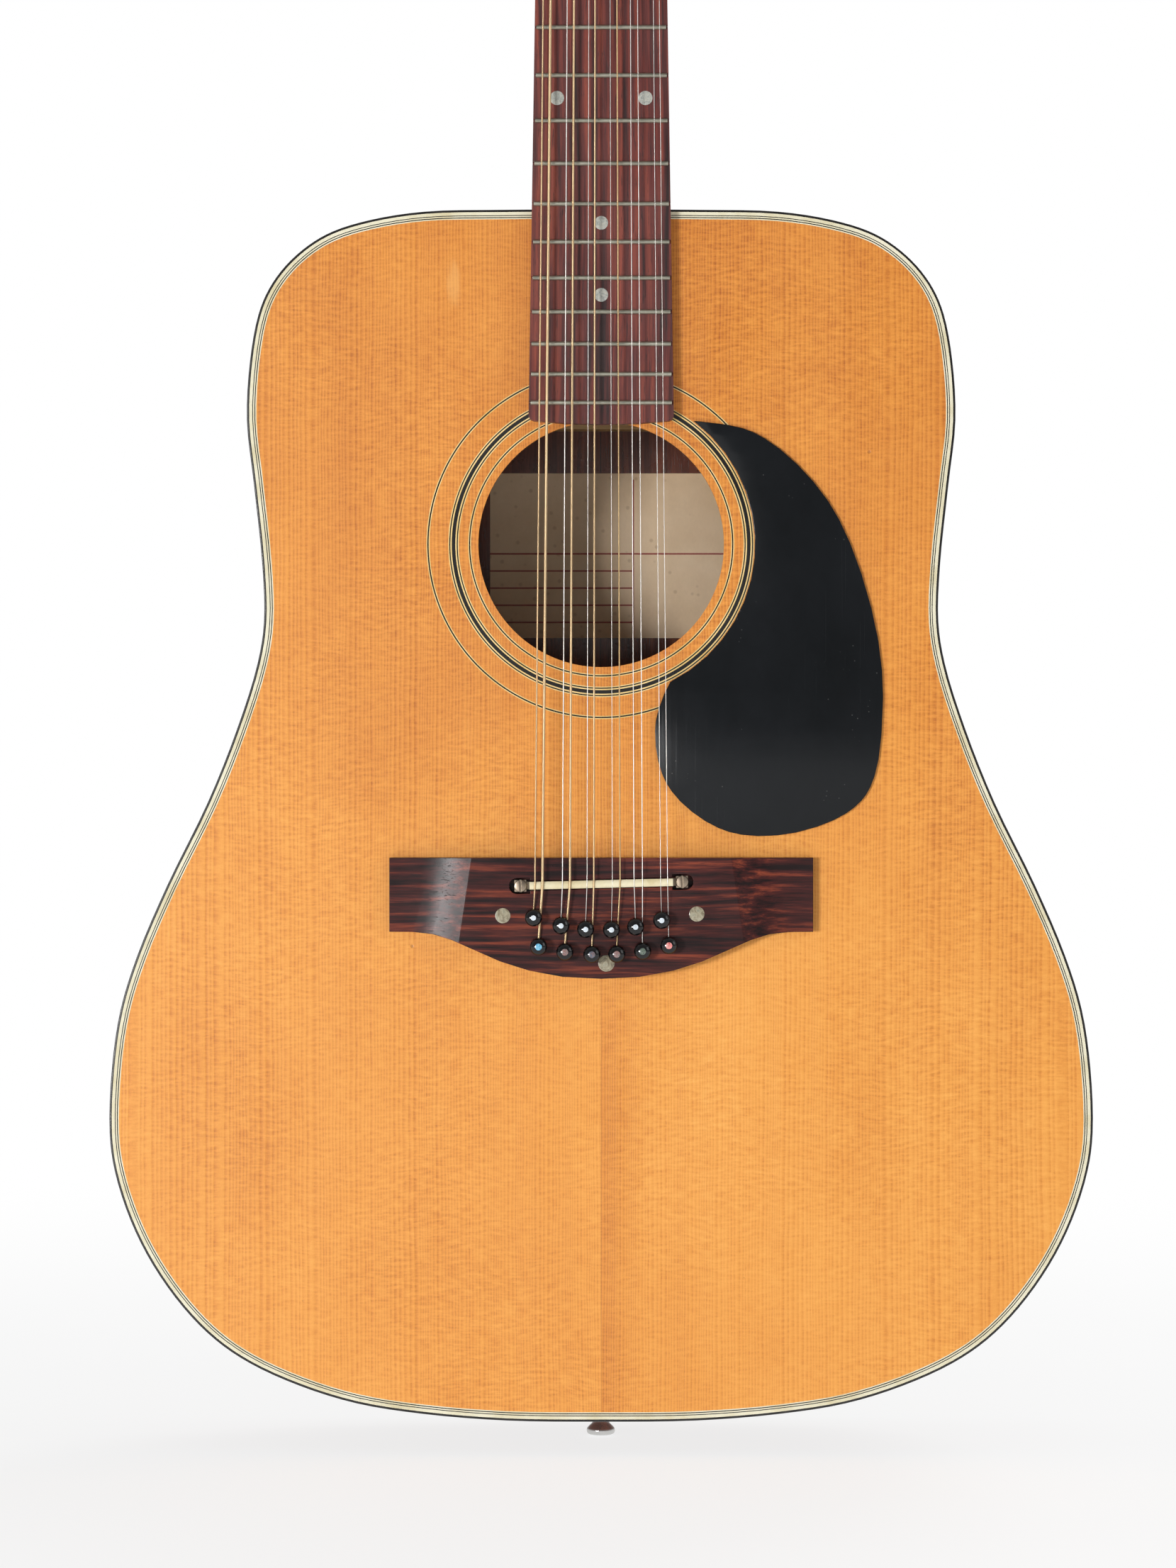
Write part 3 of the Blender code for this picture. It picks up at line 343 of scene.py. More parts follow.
def wood(name, along, tones, streak, pores, rough, stretch=0.045, contrast=(0.36, 0.52, 0.68),
         wander=2.2, relief=0.03, deep=1.0, broad_gain=(0.72, 1.30), fine_gain=(0.80, 1.20),
         strip=False, match=False, **finish):
    """An open-grained hardwood whose grain runs along x, y or z.

    tones run dark, mid, light at the ramp positions contrast. streak is the grain's fineness,
    stretch its lengthways share, wander its sideways drift. On a strip, x is its own length.
    deep scales the figure in y, match mirrors it about the centre seam.
    """
    look = Look(name, coat_roughness=0.14, **finish)
    if strip:
        x, y, z = look.split(look.place())
        length = look.node("Attribute", {}, attribute_name="arc")
        look.base = look.join(length.outputs["Fac"], y, 0.0)
    if match:
        x, y, z = look.split(look.place())
        half = look.calc("ABSOLUTE", x)
        look.base = look.join(half, y, z)

    def scaled(across, lengthways):
        return grain_scale(along, across, lengthways, deep)

    swirl = look.noise(scaled(16, 5))
    bend = look.times(look.calc("SUBTRACT", swirl, 0.5), wander)
    flow = list(look.split(look.place(scaled(streak, streak * stretch))))
    for i in range(3):
        if i != "xyz".index(along):
            flow[i] = look.add(flow[i], bend)
    body = look.noise(look.join(*flow), detail=5, rough=0.62)
    base = look.shades(body, *zip(contrast, tones))
    broad = look.noise(scaled(streak * 0.13, streak * 0.02))
    base = look.dim(base, broad, gain=broad_gain)
    lines = look.noise(scaled(streak * 5, streak * 0.16), rough=0.6)
    base = look.dim(base, lines, gain=fine_gain)
    holes = look.span(look.noise(scaled(2300, 150)), 0.60, 0.68)
    zone = look.span(look.noise(scaled(60, 9)), 0.3, 0.65, to=(0.35, 1.0))
    holes = look.times(look.times(holes, zone), pores)
    base = look.mix(holes, base, tuple(c * 0.45 for c in srgb(tones[0])))
    if match:
        base = look.stain(base, look.span(half, 0.0001, 0.0004, to=(0.75, 0.0)), (34, 18, 13))
    look.colour(base)
    wear = look.noise(28, detail=4, rough=0.6)
    look.rough(look.times_add(holes, 0.25, look.span(wear, to=rough)))
    first = look.relief(holes, depth=-relief)
    look.relief(lines, depth=relief * 0.4, after=first)


def brace_wood(name, along, tone):
    """Bare pale spruce with saw marks."""
    look = Look(name)
    grain = look.noise(grain_scale(along, 520, 14), detail=3, rough=0.6)
    base = look.shades(grain, (0.32, shifted(tone, -44, -52, -52)), (0.52, tone),
                       (0.75, shifted(tone, 18, 14, 14)))
    spots = look.noise(24, detail=3)
    look.colour(look.dim(base, spots, gain=(0.82, 1.14)))
    look.rough(look.span(spots, to=(0.66, 0.8)))
    look.relief(grain, depth=0.06)


def cream_plastic(name, tone, edge=0.0, rough=(0.30, 0.42)):
    """Aged cream celluloid or bone: faint mottling, darker dirt in patches, fine scratches."""
    look = Look(name, coat=0.1, coat_roughness=0.2, edge=edge)
    soft = look.noise(70, detail=4, rough=0.6)
    base = look.shades(soft, (0.3, shifted(tone, -16, -22, -34)), (0.55, tone),
                       (0.8, shifted(tone, 9, 8, 12)))
    fine = look.noise(900, detail=3, rough=0.6)
    base = look.dim(base, fine, gain=(0.95, 1.05))
    grime = look.span(look.noise(210, detail=5, rough=0.7, shift=(4, 1, 2)), 0.58, 0.76)
    look.colour(look.stain(base, grime, (128, 106, 66), amount=0.175))
    look.rough(look.times_add(grime, 0.2, look.span(soft, to=rough)))
    look.relief(fine, depth=0.008)


def black_plastic(name, tone, rough, scratches=1.0, **finish):
    """Moulded black plastic: slightly uneven gloss, hairline scratches, dust."""
    look = Look(name, **finish)
    smear = look.noise((17, 17, 12), detail=5, rough=0.65)
    base = look.shades(smear, (0.3, shifted(tone, -4, -4, -4)), (0.7, shifted(tone, 5, 5, 6)))
    dust = look.span(look.cells(330), 0.05, 0.11, to=(1, 0))
    dust = look.times(dust, look.span(look.noise(40), 0.55, 0.7))
    look.colour(look.stain(base, dust, (120, 120, 118), amount=0.35))
    # hairlines in three directions, kept to patches
    lines = [look.span(look.noise((1500, 1500, 9), detail=1, turn=(0.2, angle, 0.1)), 0.70, 0.76)
             for angle in (0.5, -0.9, 1.35)]
    scratch = look.calc("MAXIMUM", look.calc("MAXIMUM", lines[0], lines[1]), lines[2])
    scratch = look.times(scratch, look.span(look.noise(21, shift=(2, 5, 1)), 0.45, 0.65))
    look.rough(look.times_add(scratch, 0.22 * scratches, look.span(smear, to=rough)))
    first = look.relief(scratch, depth=-0.006)
    look.relief(look.noise(160), depth=0.012, after=first)


def metal(name, tone, rough, brushed="z", tarnish=(110, 96, 70), amount=0.3, edge=0.0):
    """Plated or bare metal with hairlines along an axis, handling haze and a little tarnish."""
    look = Look(name, metallic=1.0, edge=edge)
    haze = look.noise(130, detail=5, rough=0.6)
    spots = look.span(look.noise(420, detail=5, rough=0.7, shift=(3, 1, 4)), 0.56, 0.72)
    base = look.shades(haze, (0.3, shifted(tone, -16, -16, -16)), (0.7, tone))
    look.colour(look.stain(base, spots, tarnish, amount=amount))
    hair = look.noise(grain_scale(brushed, 2200, 60), rough=0.6)
    worn = look.times_add(spots, 0.22 * amount, look.span(haze, to=rough))
    look.rough(look.add(look.times(hair, 0.08), worn))
    look.relief(hair, depth=0.004)


def string_metal(name, tone, pitch=None):
    """Plain steel, or a core wrapped in round wire of a pitch in mm."""
    look = Look(name, metallic=1.0)
    haze = look.noise((300, 300, 6), detail=3)
    base = look.shades(haze, (0.3, shifted(tone, -12, -12, -12)), (0.7, shifted(tone, 6, 6, 6)))
    worn = look.noise((90, 90, 14), detail=3, rough=0.6, shift=(5, 2, 8))
    worn = look.span(worn, 0.54, 0.74)
    base = look.stain(base, worn, [int(c * 0.6) for c in tone], amount=0.22)
    if pitch:
        x, y, z = look.split(look.place())
        turn = look.times_add(z, 1000 / pitch, look.times(x, 420))
        wave = look.calc("ABSOLUTE", look.calc("SINE", look.times(turn, math.pi)))
        # the grooves between the turns are darkened in the colour as well as sunk in relief: painted
        # shade
        base = look.dim(base, wave, gain=(0.70, 1.06))
        look.relief(wave, depth=0.05, strength=0.5)
    look.rough(look.span(haze, to=(0.34, 0.44) if pitch else (0.38, 0.46)))
    look.colour(base)


def pearl(name, tones, scale=700, rough=0.18):
    """Shell inlay: flowing layers that shift between the tones."""
    look = Look(name, coat=0.6, coat_roughness=0.08)
    flow = look.noise((scale, scale * 0.4, scale), detail=3, rough=0.6, twist=1.8,
                      turn=(0, 0.6, 0))
    stops = [(0.30 + 0.42 * i / (len(tones) - 1), tone) for i, tone in enumerate(tones)]
    base = look.shades(flow, *stops)
    layer = look.noise((scale * 4, scale, scale), turn=(0, -0.4, 0))
    look.colour(look.dim(base, layer, gain=(0.84, 1.16)))
    look.rough(look.span(layer, to=(rough, rough + 0.14)))
    look.relief(flow, depth=0.02)


def label_paper():
    """Plain cream paper with ruled lines, fibres and age spots. It carries no words."""
    header_z, column_x, rule_pitch = 0.3800, 0.0143, 0.0075     # the ruling, in metres
    column_top, rules_top, rules_bottom = 0.4125, 0.3790, 0.3475
    look = Look("label_paper")
    x, y, z = look.split(look.place())
    fibre = look.noise((900, 300, 500), detail=4, rough=0.7)
    age = look.noise((26, 10, 26), detail=4, rough=0.6, shift=(1, 0, 3))
    base = look.shades(age, (0.3, (222, 192, 154)), (0.6, (236, 210, 176)),
                       (0.8, (242, 220, 190)))
    base = look.dim(base, fibre, gain=(0.94, 1.06))
    fox = look.span(look.cells((170, 60, 170)), 0.08, 0.2, to=(1, 0))
    base = look.stain(base, fox, (150, 110, 66), amount=0.28)
    smudge = look.times_add(look.noise((1600, 400, 1600)), 0.00012, -0.00006)

    def line(value, position, width):
        off = look.calc("ABSOLUTE", look.calc("SUBTRACT", value, position))
        return look.span(look.add(off, smudge), width * 0.35, width * 0.65, to=(1, 0))

    header = line(z, header_z, 0.00075)
    column = look.times(line(x, column_x, 0.0008), look.calc("LESS_THAN", z, column_top))
    rise = look.calc("SUBTRACT", z, header_z - rule_pitch * 4.5)
    step = look.calc("FRACT", look.calc("DIVIDE", rise, rule_pitch))
    rules = look.calc("ABSOLUTE", look.calc("SUBTRACT", step, 0.5))
    rules = look.span(rules, 0.03, 0.06, to=(1, 0))
    corner = look.times(look.calc("LESS_THAN", z, rules_top),
                        look.calc("LESS_THAN", x, column_x))
    rules = look.times(rules, corner)
    rules = look.times(rules, look.calc("GREATER_THAN", z, rules_bottom))
    inked = look.calc("MAXIMUM", look.calc("MAXIMUM", header, column), rules)
    look.colour(look.stain(base, inked, (150, 34, 46), amount=0.85))
    look.rough(look.span(age, to=(0.7, 0.85)))
    look.relief(fibre, depth=0.03)


spruce_top()
BODY = dict(tones=((74, 36, 24), (104, 53, 35), (128, 70, 47)), streak=300, pores=0.8, coat=0.3,
            rough=(0.20, 0.30), broad_gain=(0.74, 1.26), fine_gain=(0.84, 1.16), relief=0.02)
wood("side_wood", "x", stretch=0.06, wander=2.0, strip=True, **BODY)
wood("back_wood", "z", stretch=0.035, wander=4.0, match=True, **BODY)
wood("neck_wood", "z", tones=((88, 42, 25), (122, 63, 38), (146, 82, 52)), streak=280, pores=0.7,
     rough=(0.28, 0.40), stretch=0.03, coat=0.12, wander=3.0, relief=0.02, deep=0.1)
wood("block_wood", "z", tones=((110, 62, 38), (150, 94, 60), (176, 118, 80)), streak=120,
     pores=0.5, rough=(0.6, 0.72), relief=0.05)
wood("fingerboard_wood", "z", tones=((44, 22, 22), (96, 42, 38), (140, 66, 50)), streak=330,
     pores=0.75, rough=(0.36, 0.50), stretch=0.022, contrast=(0.36, 0.50, 0.66), wander=2.6,
     edge=0.35)
wood("bridge_wood", "x", tones=((26, 11, 12), (68, 27, 25), (132, 60, 40)), streak=380,
     pores=0.5, rough=(0.27, 0.38), contrast=(0.38, 0.53, 0.68), wander=4.0, edge=0.4,
     relief=0.014, shine=0.3)
wood("headplate_wood", "z", tones=((36, 18, 18), (82, 36, 32), (122, 58, 46)), streak=300,
     pores=0.6, rough=(0.24, 0.34), stretch=0.03, coat=0.3, wander=4.0, edge=0.3, relief=0.010,
     deep=0.08)
brace_wood("brace_x", "x", tone=(214, 178, 126))
brace_wood("brace_z", "z", tone=(206, 166, 112))     # a spare that no piece wears
brace_wood("lining", "z", tone=(196, 150, 98))
cream_plastic("cream_binding", tone=(230, 224, 196))
cream_plastic("rosette_cream", tone=(236, 206, 140))
cream_plastic("bone", tone=(232, 222, 188), edge=0.5, rough=(0.26, 0.38))
black_plastic("black_binding", tone=(26, 24, 22), rough=(0.24, 0.34), scratches=0.4)
black_plastic("pickguard_plastic", tone=(22, 24, 26), rough=(0.13, 0.19), edge=0.35, shine=0.22)
black_plastic("black_plastic", tone=(20, 20, 21), rough=(0.14, 0.22), edge=0.3)
black_plastic("pin_plastic", tone=(15, 15, 16), rough=(0.08, 0.15), scratches=0.3)
metal("nickel", tone=(206, 202, 192), rough=(0.14, 0.26), edge=0.15)
metal("old_nickel", tone=(172, 156, 138), rough=(0.26, 0.4), tarnish=(84, 62, 44), amount=0.5,
      edge=0.15)
metal("chrome", tone=(214, 214, 212), rough=(0.08, 0.16), amount=0.12)
metal("plate", tone=(204, 200, 190), rough=(0.2, 0.32), brushed="x", edge=0.25)
metal("fret_wire", tone=(196, 194, 178), rough=(0.24, 0.36), brushed="x",
      tarnish=(120, 120, 96), amount=0.4, edge=0.15)
metal("brass", tone=(196, 160, 96), rough=(0.26, 0.4), tarnish=(96, 66, 34), amount=0.5,
      edge=0.15)
metal("steel", tone=(176, 172, 164), rough=(0.3, 0.44), amount=0.5)
string_metal("bronze_wound", tone=(226, 198, 156), pitch=0.28)
string_metal("silver_wound", tone=(226, 196, 148), pitch=0.22)
string_metal("plain_steel", tone=(232, 230, 225))
pearl("pearl", [(140, 144, 140), (176, 178, 170), (196, 192, 178)], scale=520)
pearl("pearl_pin", [(196, 206, 214), (214, 224, 232), (228, 232, 234)], scale=300, rough=0.3)
pearl("pearl_warm", [(104, 94, 74), (140, 130, 106), (168, 160, 136), (130, 132, 114)], scale=260)
pearl("abalone_blue", [(48, 104, 150), (96, 176, 214), (140, 204, 226), (70, 110, 140)])
pearl("abalone_dusk", [(56, 90, 122), (96, 92, 98), (128, 108, 110), (60, 72, 84)])
pearl("abalone_pink", [(92, 62, 60), (150, 112, 108), (128, 122, 120), (84, 74, 72)])
pearl("abalone_green", [(34, 46, 42), (78, 96, 86), (110, 120, 108), (44, 50, 48)])
pearl("abalone_coral", [(170, 70, 72), (226, 122, 120), (232, 168, 160), (140, 84, 84)])
label_paper()

# ---- CAD pieces kept as they are -----------------------------------------------------------------

CAD_LOOKS = {
    "back": "back_wood", "top_lining": "lining", "back_lining": "lining", "x_brace": "brace_x",
    "transverse_brace": "brace_x", "back_bracing": "brace_x", "back_brace_upper": "brace_x",
    "neck_block": "block_wood", "tail_block": "block_wood", "bridge_plate": "block_wood",
    "pickguard": "pickguard_plastic", "heel_cap": "black_plastic",
    "truss_rod_cover": "black_plastic", "saddle_carrier": "old_nickel",
    "headstock_veneer": "headplate_wood", "fingerboard": "fingerboard_wood",
    "bridge": "bridge_wood", "frets": "fret_wire", "nut": "bone", "saddle": "bone",
    "truss_rod": "steel", "truss_rod_nut": "brass",
    "tuner_plate_bass": "plate", "tuner_plate_treble": "plate",
}
BEVELS = {"pickguard": 0.35, "truss_rod_cover": 0.5, "heel_cap": 0.5, "headstock_veneer": 0.4,
          "tuner_plate_bass": 0.25, "tuner_plate_treble": 0.25}
SMOOTH_ANGLE = 38.0     # degrees; sharper edges than this stay crisp
BRIDGE_SMOOTH_ANGLE = 13.0


def carry(node, look, bevel, angle):
    """Gives a CAD node its finish: smooth shading over its facets, and softened edges."""
    piece = NODES[node]
    mesh = piece.data
    for name in ("custom_normal", "sharp_face", "sharp_edge"):
        if name in mesh.attributes:
            mesh.attributes.remove(mesh.attributes[name])
    mesh.materials.clear()
    mesh.materials.append(LOOKS[look])
    for polygon in mesh.polygons:
        polygon.use_smooth = True
        polygon.material_index = 0
    weld = piece.modifiers.new("weld", "WELD")
    weld.merge_threshold = 0.000002
    if bevel:
        soft = piece.modifiers.new("soften", "BEVEL")
        soft.width = bevel * MM
        soft.segments = 2
        soft.limit_method = "ANGLE"
        soft.angle_limit = math.radians(40)
    split = piece.modifiers.new("facets", "EDGE_SPLIT")
    split.split_angle = math.radians(angle)


for node, look in CAD_LOOKS.items():
    angle = BRIDGE_SMOOTH_ANGLE if node == "bridge" else SMOOTH_ANGLE
    carry(node, look, BEVELS.get(node, 0.0), angle)

# ---- shape tools ---------------------------------------------------------------------------------


def finished(shape, name):
    """Closes a bmesh into a mesh."""
    bmesh.ops.remove_doubles(shape, verts=shape.verts, dist=1e-7)
    bmesh.ops.recalc_face_normals(shape, faces=shape.faces)
    mesh = bpy.data.meshes.new(name)
    shape.to_mesh(mesh)
    shape.free()
    return mesh


def show(name, shape, look, body=ROOT, replaces=(), angle=SMOOTH_ANGLE):
    """A visible piece, from a mesh or a bmesh, that rides on a CAD body."""
    mesh = finished(shape, name) if isinstance(shape, bmesh.types.BMesh) else shape
    piece = bpy.data.objects.new(name, mesh)
    bpy.context.scene.collection.objects.link(piece)
    mesh.materials.clear()
    mesh.materials.append(LOOKS[look])
    mesh.shade_smooth()
    mesh.set_sharp_from_angle(angle=math.radians(angle))
    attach(piece, body)
    if replaces:
        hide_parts(*replaces)


def facing(x, y, z, parent=Matrix.Identity(4)):
    """A local frame at a point whose Z axis looks out of the parent frame's -Y side."""
    return parent @ move(x, y, z) @ Matrix.Rotation(math.pi / 2, 4, "X")


def stitch(shape, ring, following, closed=True):
    """Quads between two rows of as many vertices."""
    count = len(ring)
    for i in range(count if closed else count - 1):
        j = (i + 1) % count
        shape.faces.new((ring[i], ring[j], following[j], following[i]))


def lathe(shape, profile, matrix=Matrix.Identity(4), count=40):
    """Turns a profile of (radius, height) about the local Z axis."""
    angles = [2 * math.pi * i / count for i in range(count)]
    rings = []
    for r, h in profile:
        points = [(0, 0, h)]
        if r >= 1e-6:
            points = [(r * math.cos(a), r * math.sin(a), h) for a in angles]
        rings.append([shape.verts.new(matrix @ (Vector(p) * MM)) for p in points])
    for ring, following in zip(rings, rings[1:]):
        if len(ring) == len(following) == count:
            stitch(shape, ring, following)
        elif len(following) == count:
            for i in range(count):
                shape.faces.new((ring[0], following[i], following[(i + 1) % count]))
        elif len(ring) == count:
            for i in range(count):
                shape.faces.new((ring[i], ring[(i + 1) % count], following[0]))


def rounded(points, radius, steps=5):
    """A polyline with its corners rounded."""
    points = [Vector(p) for p in points]
    made = [points[0]]
    for before, corner, after in zip(points, points[1:], points[2:]):
        back, ahead = before - corner, after - corner
        reach = min(radius, back.length * 0.45, ahead.length * 0.45)
        start = corner + back.normalized() * reach
        end = corner + ahead.normalized() * reach
        for i in range(steps + 1):
            t = i / steps
            made.append(start * (1 - t) ** 2 + corner * 2 * t * (1 - t) + end * t * t)
    return made + [points[-1]]


def tube(shape, points, radius, count=14):
    """A round rod along points, its frame carried without twist, closed at both ends."""
    points = [Vector(p) for p in points]
    tangent = (points[1] - points[0]).normalized()
    side = tangent.orthogonal().normalized()
    angles = [2 * math.pi * i / count for i in range(count)]
    rings = []
    for i, point in enumerate(points):
        now = (points[min(i + 1, len(points) - 1)] - points[max(i - 1, 0)]).normalized()
        side = tangent.rotation_difference(now) @ side
        side = (side - now * side.dot(now)).normalized()
        tangent = now
        up = now.cross(side)
        rings.append([
            shape.verts.new((point + (side * math.cos(a) + up * math.sin(a)) * radius) * MM)
            for a in angles])
    for ring, following in zip(rings, rings[1:]):
        stitch(shape, ring, following)
    shape.faces.new(rings[0])
    shape.faces.new(rings[-1])


def plate(loops, y0, y1, matrix=Matrix.Identity(4)):
    """A flat piece between two y planes. loops are of (x, z): first the edge, then any holes."""
    curve = bpy.data.curves.new("outline", "CURVE")
    curve.dimensions = "2D"
    curve.fill_mode = "BOTH"
    curve.extrude = abs(y1 - y0) / 2 * MM
    for loop in loops:
        spline = curve.splines.new("POLY")
        spline.points.add(len(loop) - 1)
        for point, (x, z) in zip(spline.points, loop):
            point.co = (x * MM, z * MM, 0, 1)
        spline.use_cyclic_u = True
    outline = bpy.data.objects.new("outline", curve)
    bpy.context.scene.collection.objects.link(outline)
    mesh = evaluated_mesh(outline)
    bpy.data.objects.remove(outline)
    bpy.data.curves.remove(curve)
    mesh.transform(facing(0, (y0 + y1) / 2, 0, matrix))
    shape = bmesh.new()
    shape.from_mesh(mesh)
    bpy.data.meshes.remove(mesh)
    return finished(shape, "plate")


def evaluated_mesh(source):
    bpy.context.view_layer.update()
    graph = bpy.context.evaluated_depsgraph_get()
    return bpy.data.meshes.new_from_object(source.evaluated_get(graph))


def cut(mesh, cutter):
    """mesh with cutter cut away from it."""
    work = bpy.data.objects.new("work", mesh)
    tool = bpy.data.objects.new("tool", cutter)
    for item in (work, tool):
        bpy.context.scene.collection.objects.link(item)
    modifier = work.modifiers.new("cut", "BOOLEAN")
    modifier.operation, modifier.object, modifier.solver = "DIFFERENCE", tool, "EXACT"
    made = evaluated_mesh(work)
    for item in (tool, work):
        bpy.data.objects.remove(item)
    return made


def solid_box(low_corner, high_corner, matrix):
    start, end = Vector(low_corner) * MM, Vector(high_corner) * MM
    shape = bmesh.new()
    sized = Matrix.Translation((start + end) / 2) @ Matrix.Diagonal((*(end - start), 1.0))
    bmesh.ops.create_cube(shape, size=1.0, matrix=matrix @ sized)
    return finished(shape, "box")


def catmull(points, steps, closed=False):
    """A centripetal Catmull-Rom curve through points of any dimension."""
    points = [Vector(p) for p in points]
    if closed:
        points = [points[-1]] + points + points[:2]
    else:
        points = [points[0] * 2 - points[1]] + points + [points[-1] * 2 - points[-2]]

    def between(p, q, start, end, t):
        return p * ((end - t) / (end - start)) + q * ((t - start) / (end - start))

    made = []
    for corners in zip(points, points[1:], points[2:], points[3:]):
        knots = [0.0]
        for p, q in zip(corners, corners[1:]):
            knots.append(knots[-1] + max(1e-6, math.sqrt((q - p).length)))
        for i in range(steps):
            t = knots[1] + (knots[2] - knots[1]) * i / steps
            level = corners
            for reach in (1, 2):
                level = [between(level[n], level[n + 1], knots[n], knots[n + reach], t)
                         for n in range(len(level) - 1)]
            made.append(between(level[0], level[1], knots[1], knots[2], t))
    if not closed:
        made.append(points[-2])
    return made


# ---- body: outline read from the CAD binding, binding strips, ribs, soundboard -------------------


def rim():
    """The body's outer edge at the soundboard: from the tail up the treble side, down the bass."""
    shape = bmesh.new()
    shape.from_mesh(NODES["top_binding"].data)
    bmesh.ops.remove_doubles(shape, verts=shape.verts, dist=2e-6)
    centre = Vector((0, 0, 0.27))
    links = {}
    for edge in shape.edges:
        off_face = any(abs(v.co.y - TOP_Y * MM) > 2e-5 for v in edge.verts)
        if off_face or len(edge.link_faces) != 2:
            continue
        normals = [f.normal for f in edge.link_faces]
        flat = [abs(n.y) > 0.9 for n in normals]
        if flat[0] == flat[1]:
            continue
        start, end = edge.verts
        middle = (start.co + end.co) / 2
        if normals[1 if flat[0] else 0].dot(Vector((middle.x, 0, middle.z)) - centre) > 0:
            links.setdefault(start.index, []).append(end.index)
            links.setdefault(end.index, []).append(start.index)
    shape.verts.ensure_lookup_table()
    spots = [v.co.copy() for v in shape.verts]
    shape.free()
    start = min(links, key=lambda i: (round(spots[i].z, 5), abs(spots[i].x)))
    before, here = start, max(links[start], key=lambda i: spots[i].x)
    loop = [start]
    while here != start:
        loop.append(here)
        ahead = [i for i in links[here] if i != before]
        before, here = here, ahead[0]
    return [(spots[i].x / MM, spots[i].z / MM) for i in loop]


RIM = [(p.x, p.y) for p in catmull(rim(), 4, closed=True)]


def inset(distance):
    """The body outline moved in by distance."""
    made = []
    for i, (x, z) in enumerate(RIM):
        before, after = RIM[i - 1], RIM[(i + 1) % len(RIM)]
        dx, dz = after[0] - before[0], after[1] - before[1]
        length = math.hypot(dx, dz)
        made.append((x - dz / length * distance, z + dx / length * distance))
    return made


def band(shape, outer, inner, rows, closed=True):
    """A strip between two outlines.

    rows go round its section: (share from outer to inner, rule that gives y from z). The arc
    attribute is the way gone along the strip, in metres.
    """
    arc = shape.verts.layers.float.get("arc") or shape.verts.layers.float.new("arc")
    rings = []
    for share, height in rows:
        ring, gone = [], 0.0
        for i, ((outer_x, outer_z), (inner_x, inner_z)) in enumerate(zip(outer, inner)):
            x, z = outer_x + (inner_x - outer_x) * share, outer_z + (inner_z - outer_z) * share
            ring.append(shape.verts.new(Vector((x, height(z), z)) * MM))
            if i:
                gone += math.hypot(outer_x - outer[i - 1][0], outer_z - outer[i - 1][1]) * MM
            ring[-1][arc] = gone
        rings.append(ring)
    for ring, following in zip(rings, rings[1:] + rings[:1]):
        stitch(shape, ring, following, closed)
    if not closed:
        shape.faces.new([ring[0] for ring in rings])
        shape.faces.new([ring[-1] for ring in rings])


def top_in(depth):
    """Rule for y at a depth below the soundboard's face."""
    return lambda z: TOP_Y + depth


def back_in(depth):
    """Rule for y at a depth below the back's face."""
    return lambda z: back_y(z) - depth


BINDING_DEPTH, PURFLING_DEPTH = 6.0, 2.8     # the soundboard is as thick as the purfling is deep
EDGE_ROLL = 0.45
RIB_T = 2.2
STRIP_LOOKS = {"black": ("black_binding", "black_plastic"),
               "cream": ("cream_binding", "cream_binding")}
# name, tint, face, depth, (outer inset, inner inset) of each strip, CAD node replaced
STRIPS = [
    ("top_binding_edge", "black", top_in, BINDING_DEPTH, [(0.0, 1.0)], ()),
    ("top_binding_cream", "cream", top_in, BINDING_DEPTH, [(1.0, 2.3)], ("top_binding",)),
    ("top_purfling_black", "black", top_in, PURFLING_DEPTH, [(2.3, 2.65), (3.15, 3.55)], ()),
    ("top_purfling_cream", "cream", top_in, PURFLING_DEPTH, [(2.65, 3.15), (3.55, 4.0)], ()),
    ("back_binding_edge", "black", back_in, BINDING_DEPTH, [(0.0, 1.0)], ()),
    ("back_binding_cream", "cream", back_in, BINDING_DEPTH, [(1.0, 2.3)], ("back_binding",)),
    ("back_purfling_black", "black", back_in, PURFLING_DEPTH, [(2.3, 2.5)], ()),
]


def binding_strip(shape, start, end, face_in, depth):
    """A strip between two insets. The outermost one has its show edge rounded."""
    rows = [(0.0, face_in(0.0))]
    if start == 0.0:
        angles = [math.pi / 2 * i / 4 for i in range(5)]
        rows = [(EDGE_ROLL * (1 - math.sin(a)) / (end - start),
                 face_in(EDGE_ROLL * (1 - math.cos(a)))) for a in angles]
    rows += [(0.0, face_in(depth)), (1.0, face_in(depth)), (1.0, face_in(0.0))]
    band(shape, inset(start), inset(end), rows)


for name, tint, face_in, depth, insets, replaced in STRIPS:
    look, slot = STRIP_LOOKS[tint]
    shape = bmesh.new()
    for start, end in insets:
        binding_strip(shape, start, end, face_in, depth)
    show(name, shape, look, replaces=replaced)


def side_rib(name, side, node):
    """One rib, from the centre joint at the tail to the one at the neck."""
    half_count = len(RIM) // 2
    outer, inner = inset(0.0), inset(RIB_T)
    if side > 0:
        outer, inner = outer[: half_count + 1], inner[: half_count + 1]
    else:
        outer, inner = outer[half_count:] + outer[:1], inner[half_count:] + inner[:1]
    for strip in (outer, inner):
        for end in (0, -1):
            strip[end] = (0.04 * side, strip[end][1])
    front, rear = top_in(BINDING_DEPTH), back_in(BINDING_DEPTH)
    shape = bmesh.new()
    band(shape, outer, inner, [(0.0, front), (0.0, rear), (1.0, rear), (1.0, front)],
         closed=False)
    show(name, shape, "side_wood", replaces=(node,))


side_rib("side_treble", 1, "rib_treble")
side_rib("side_bass", -1, "rib_bass")

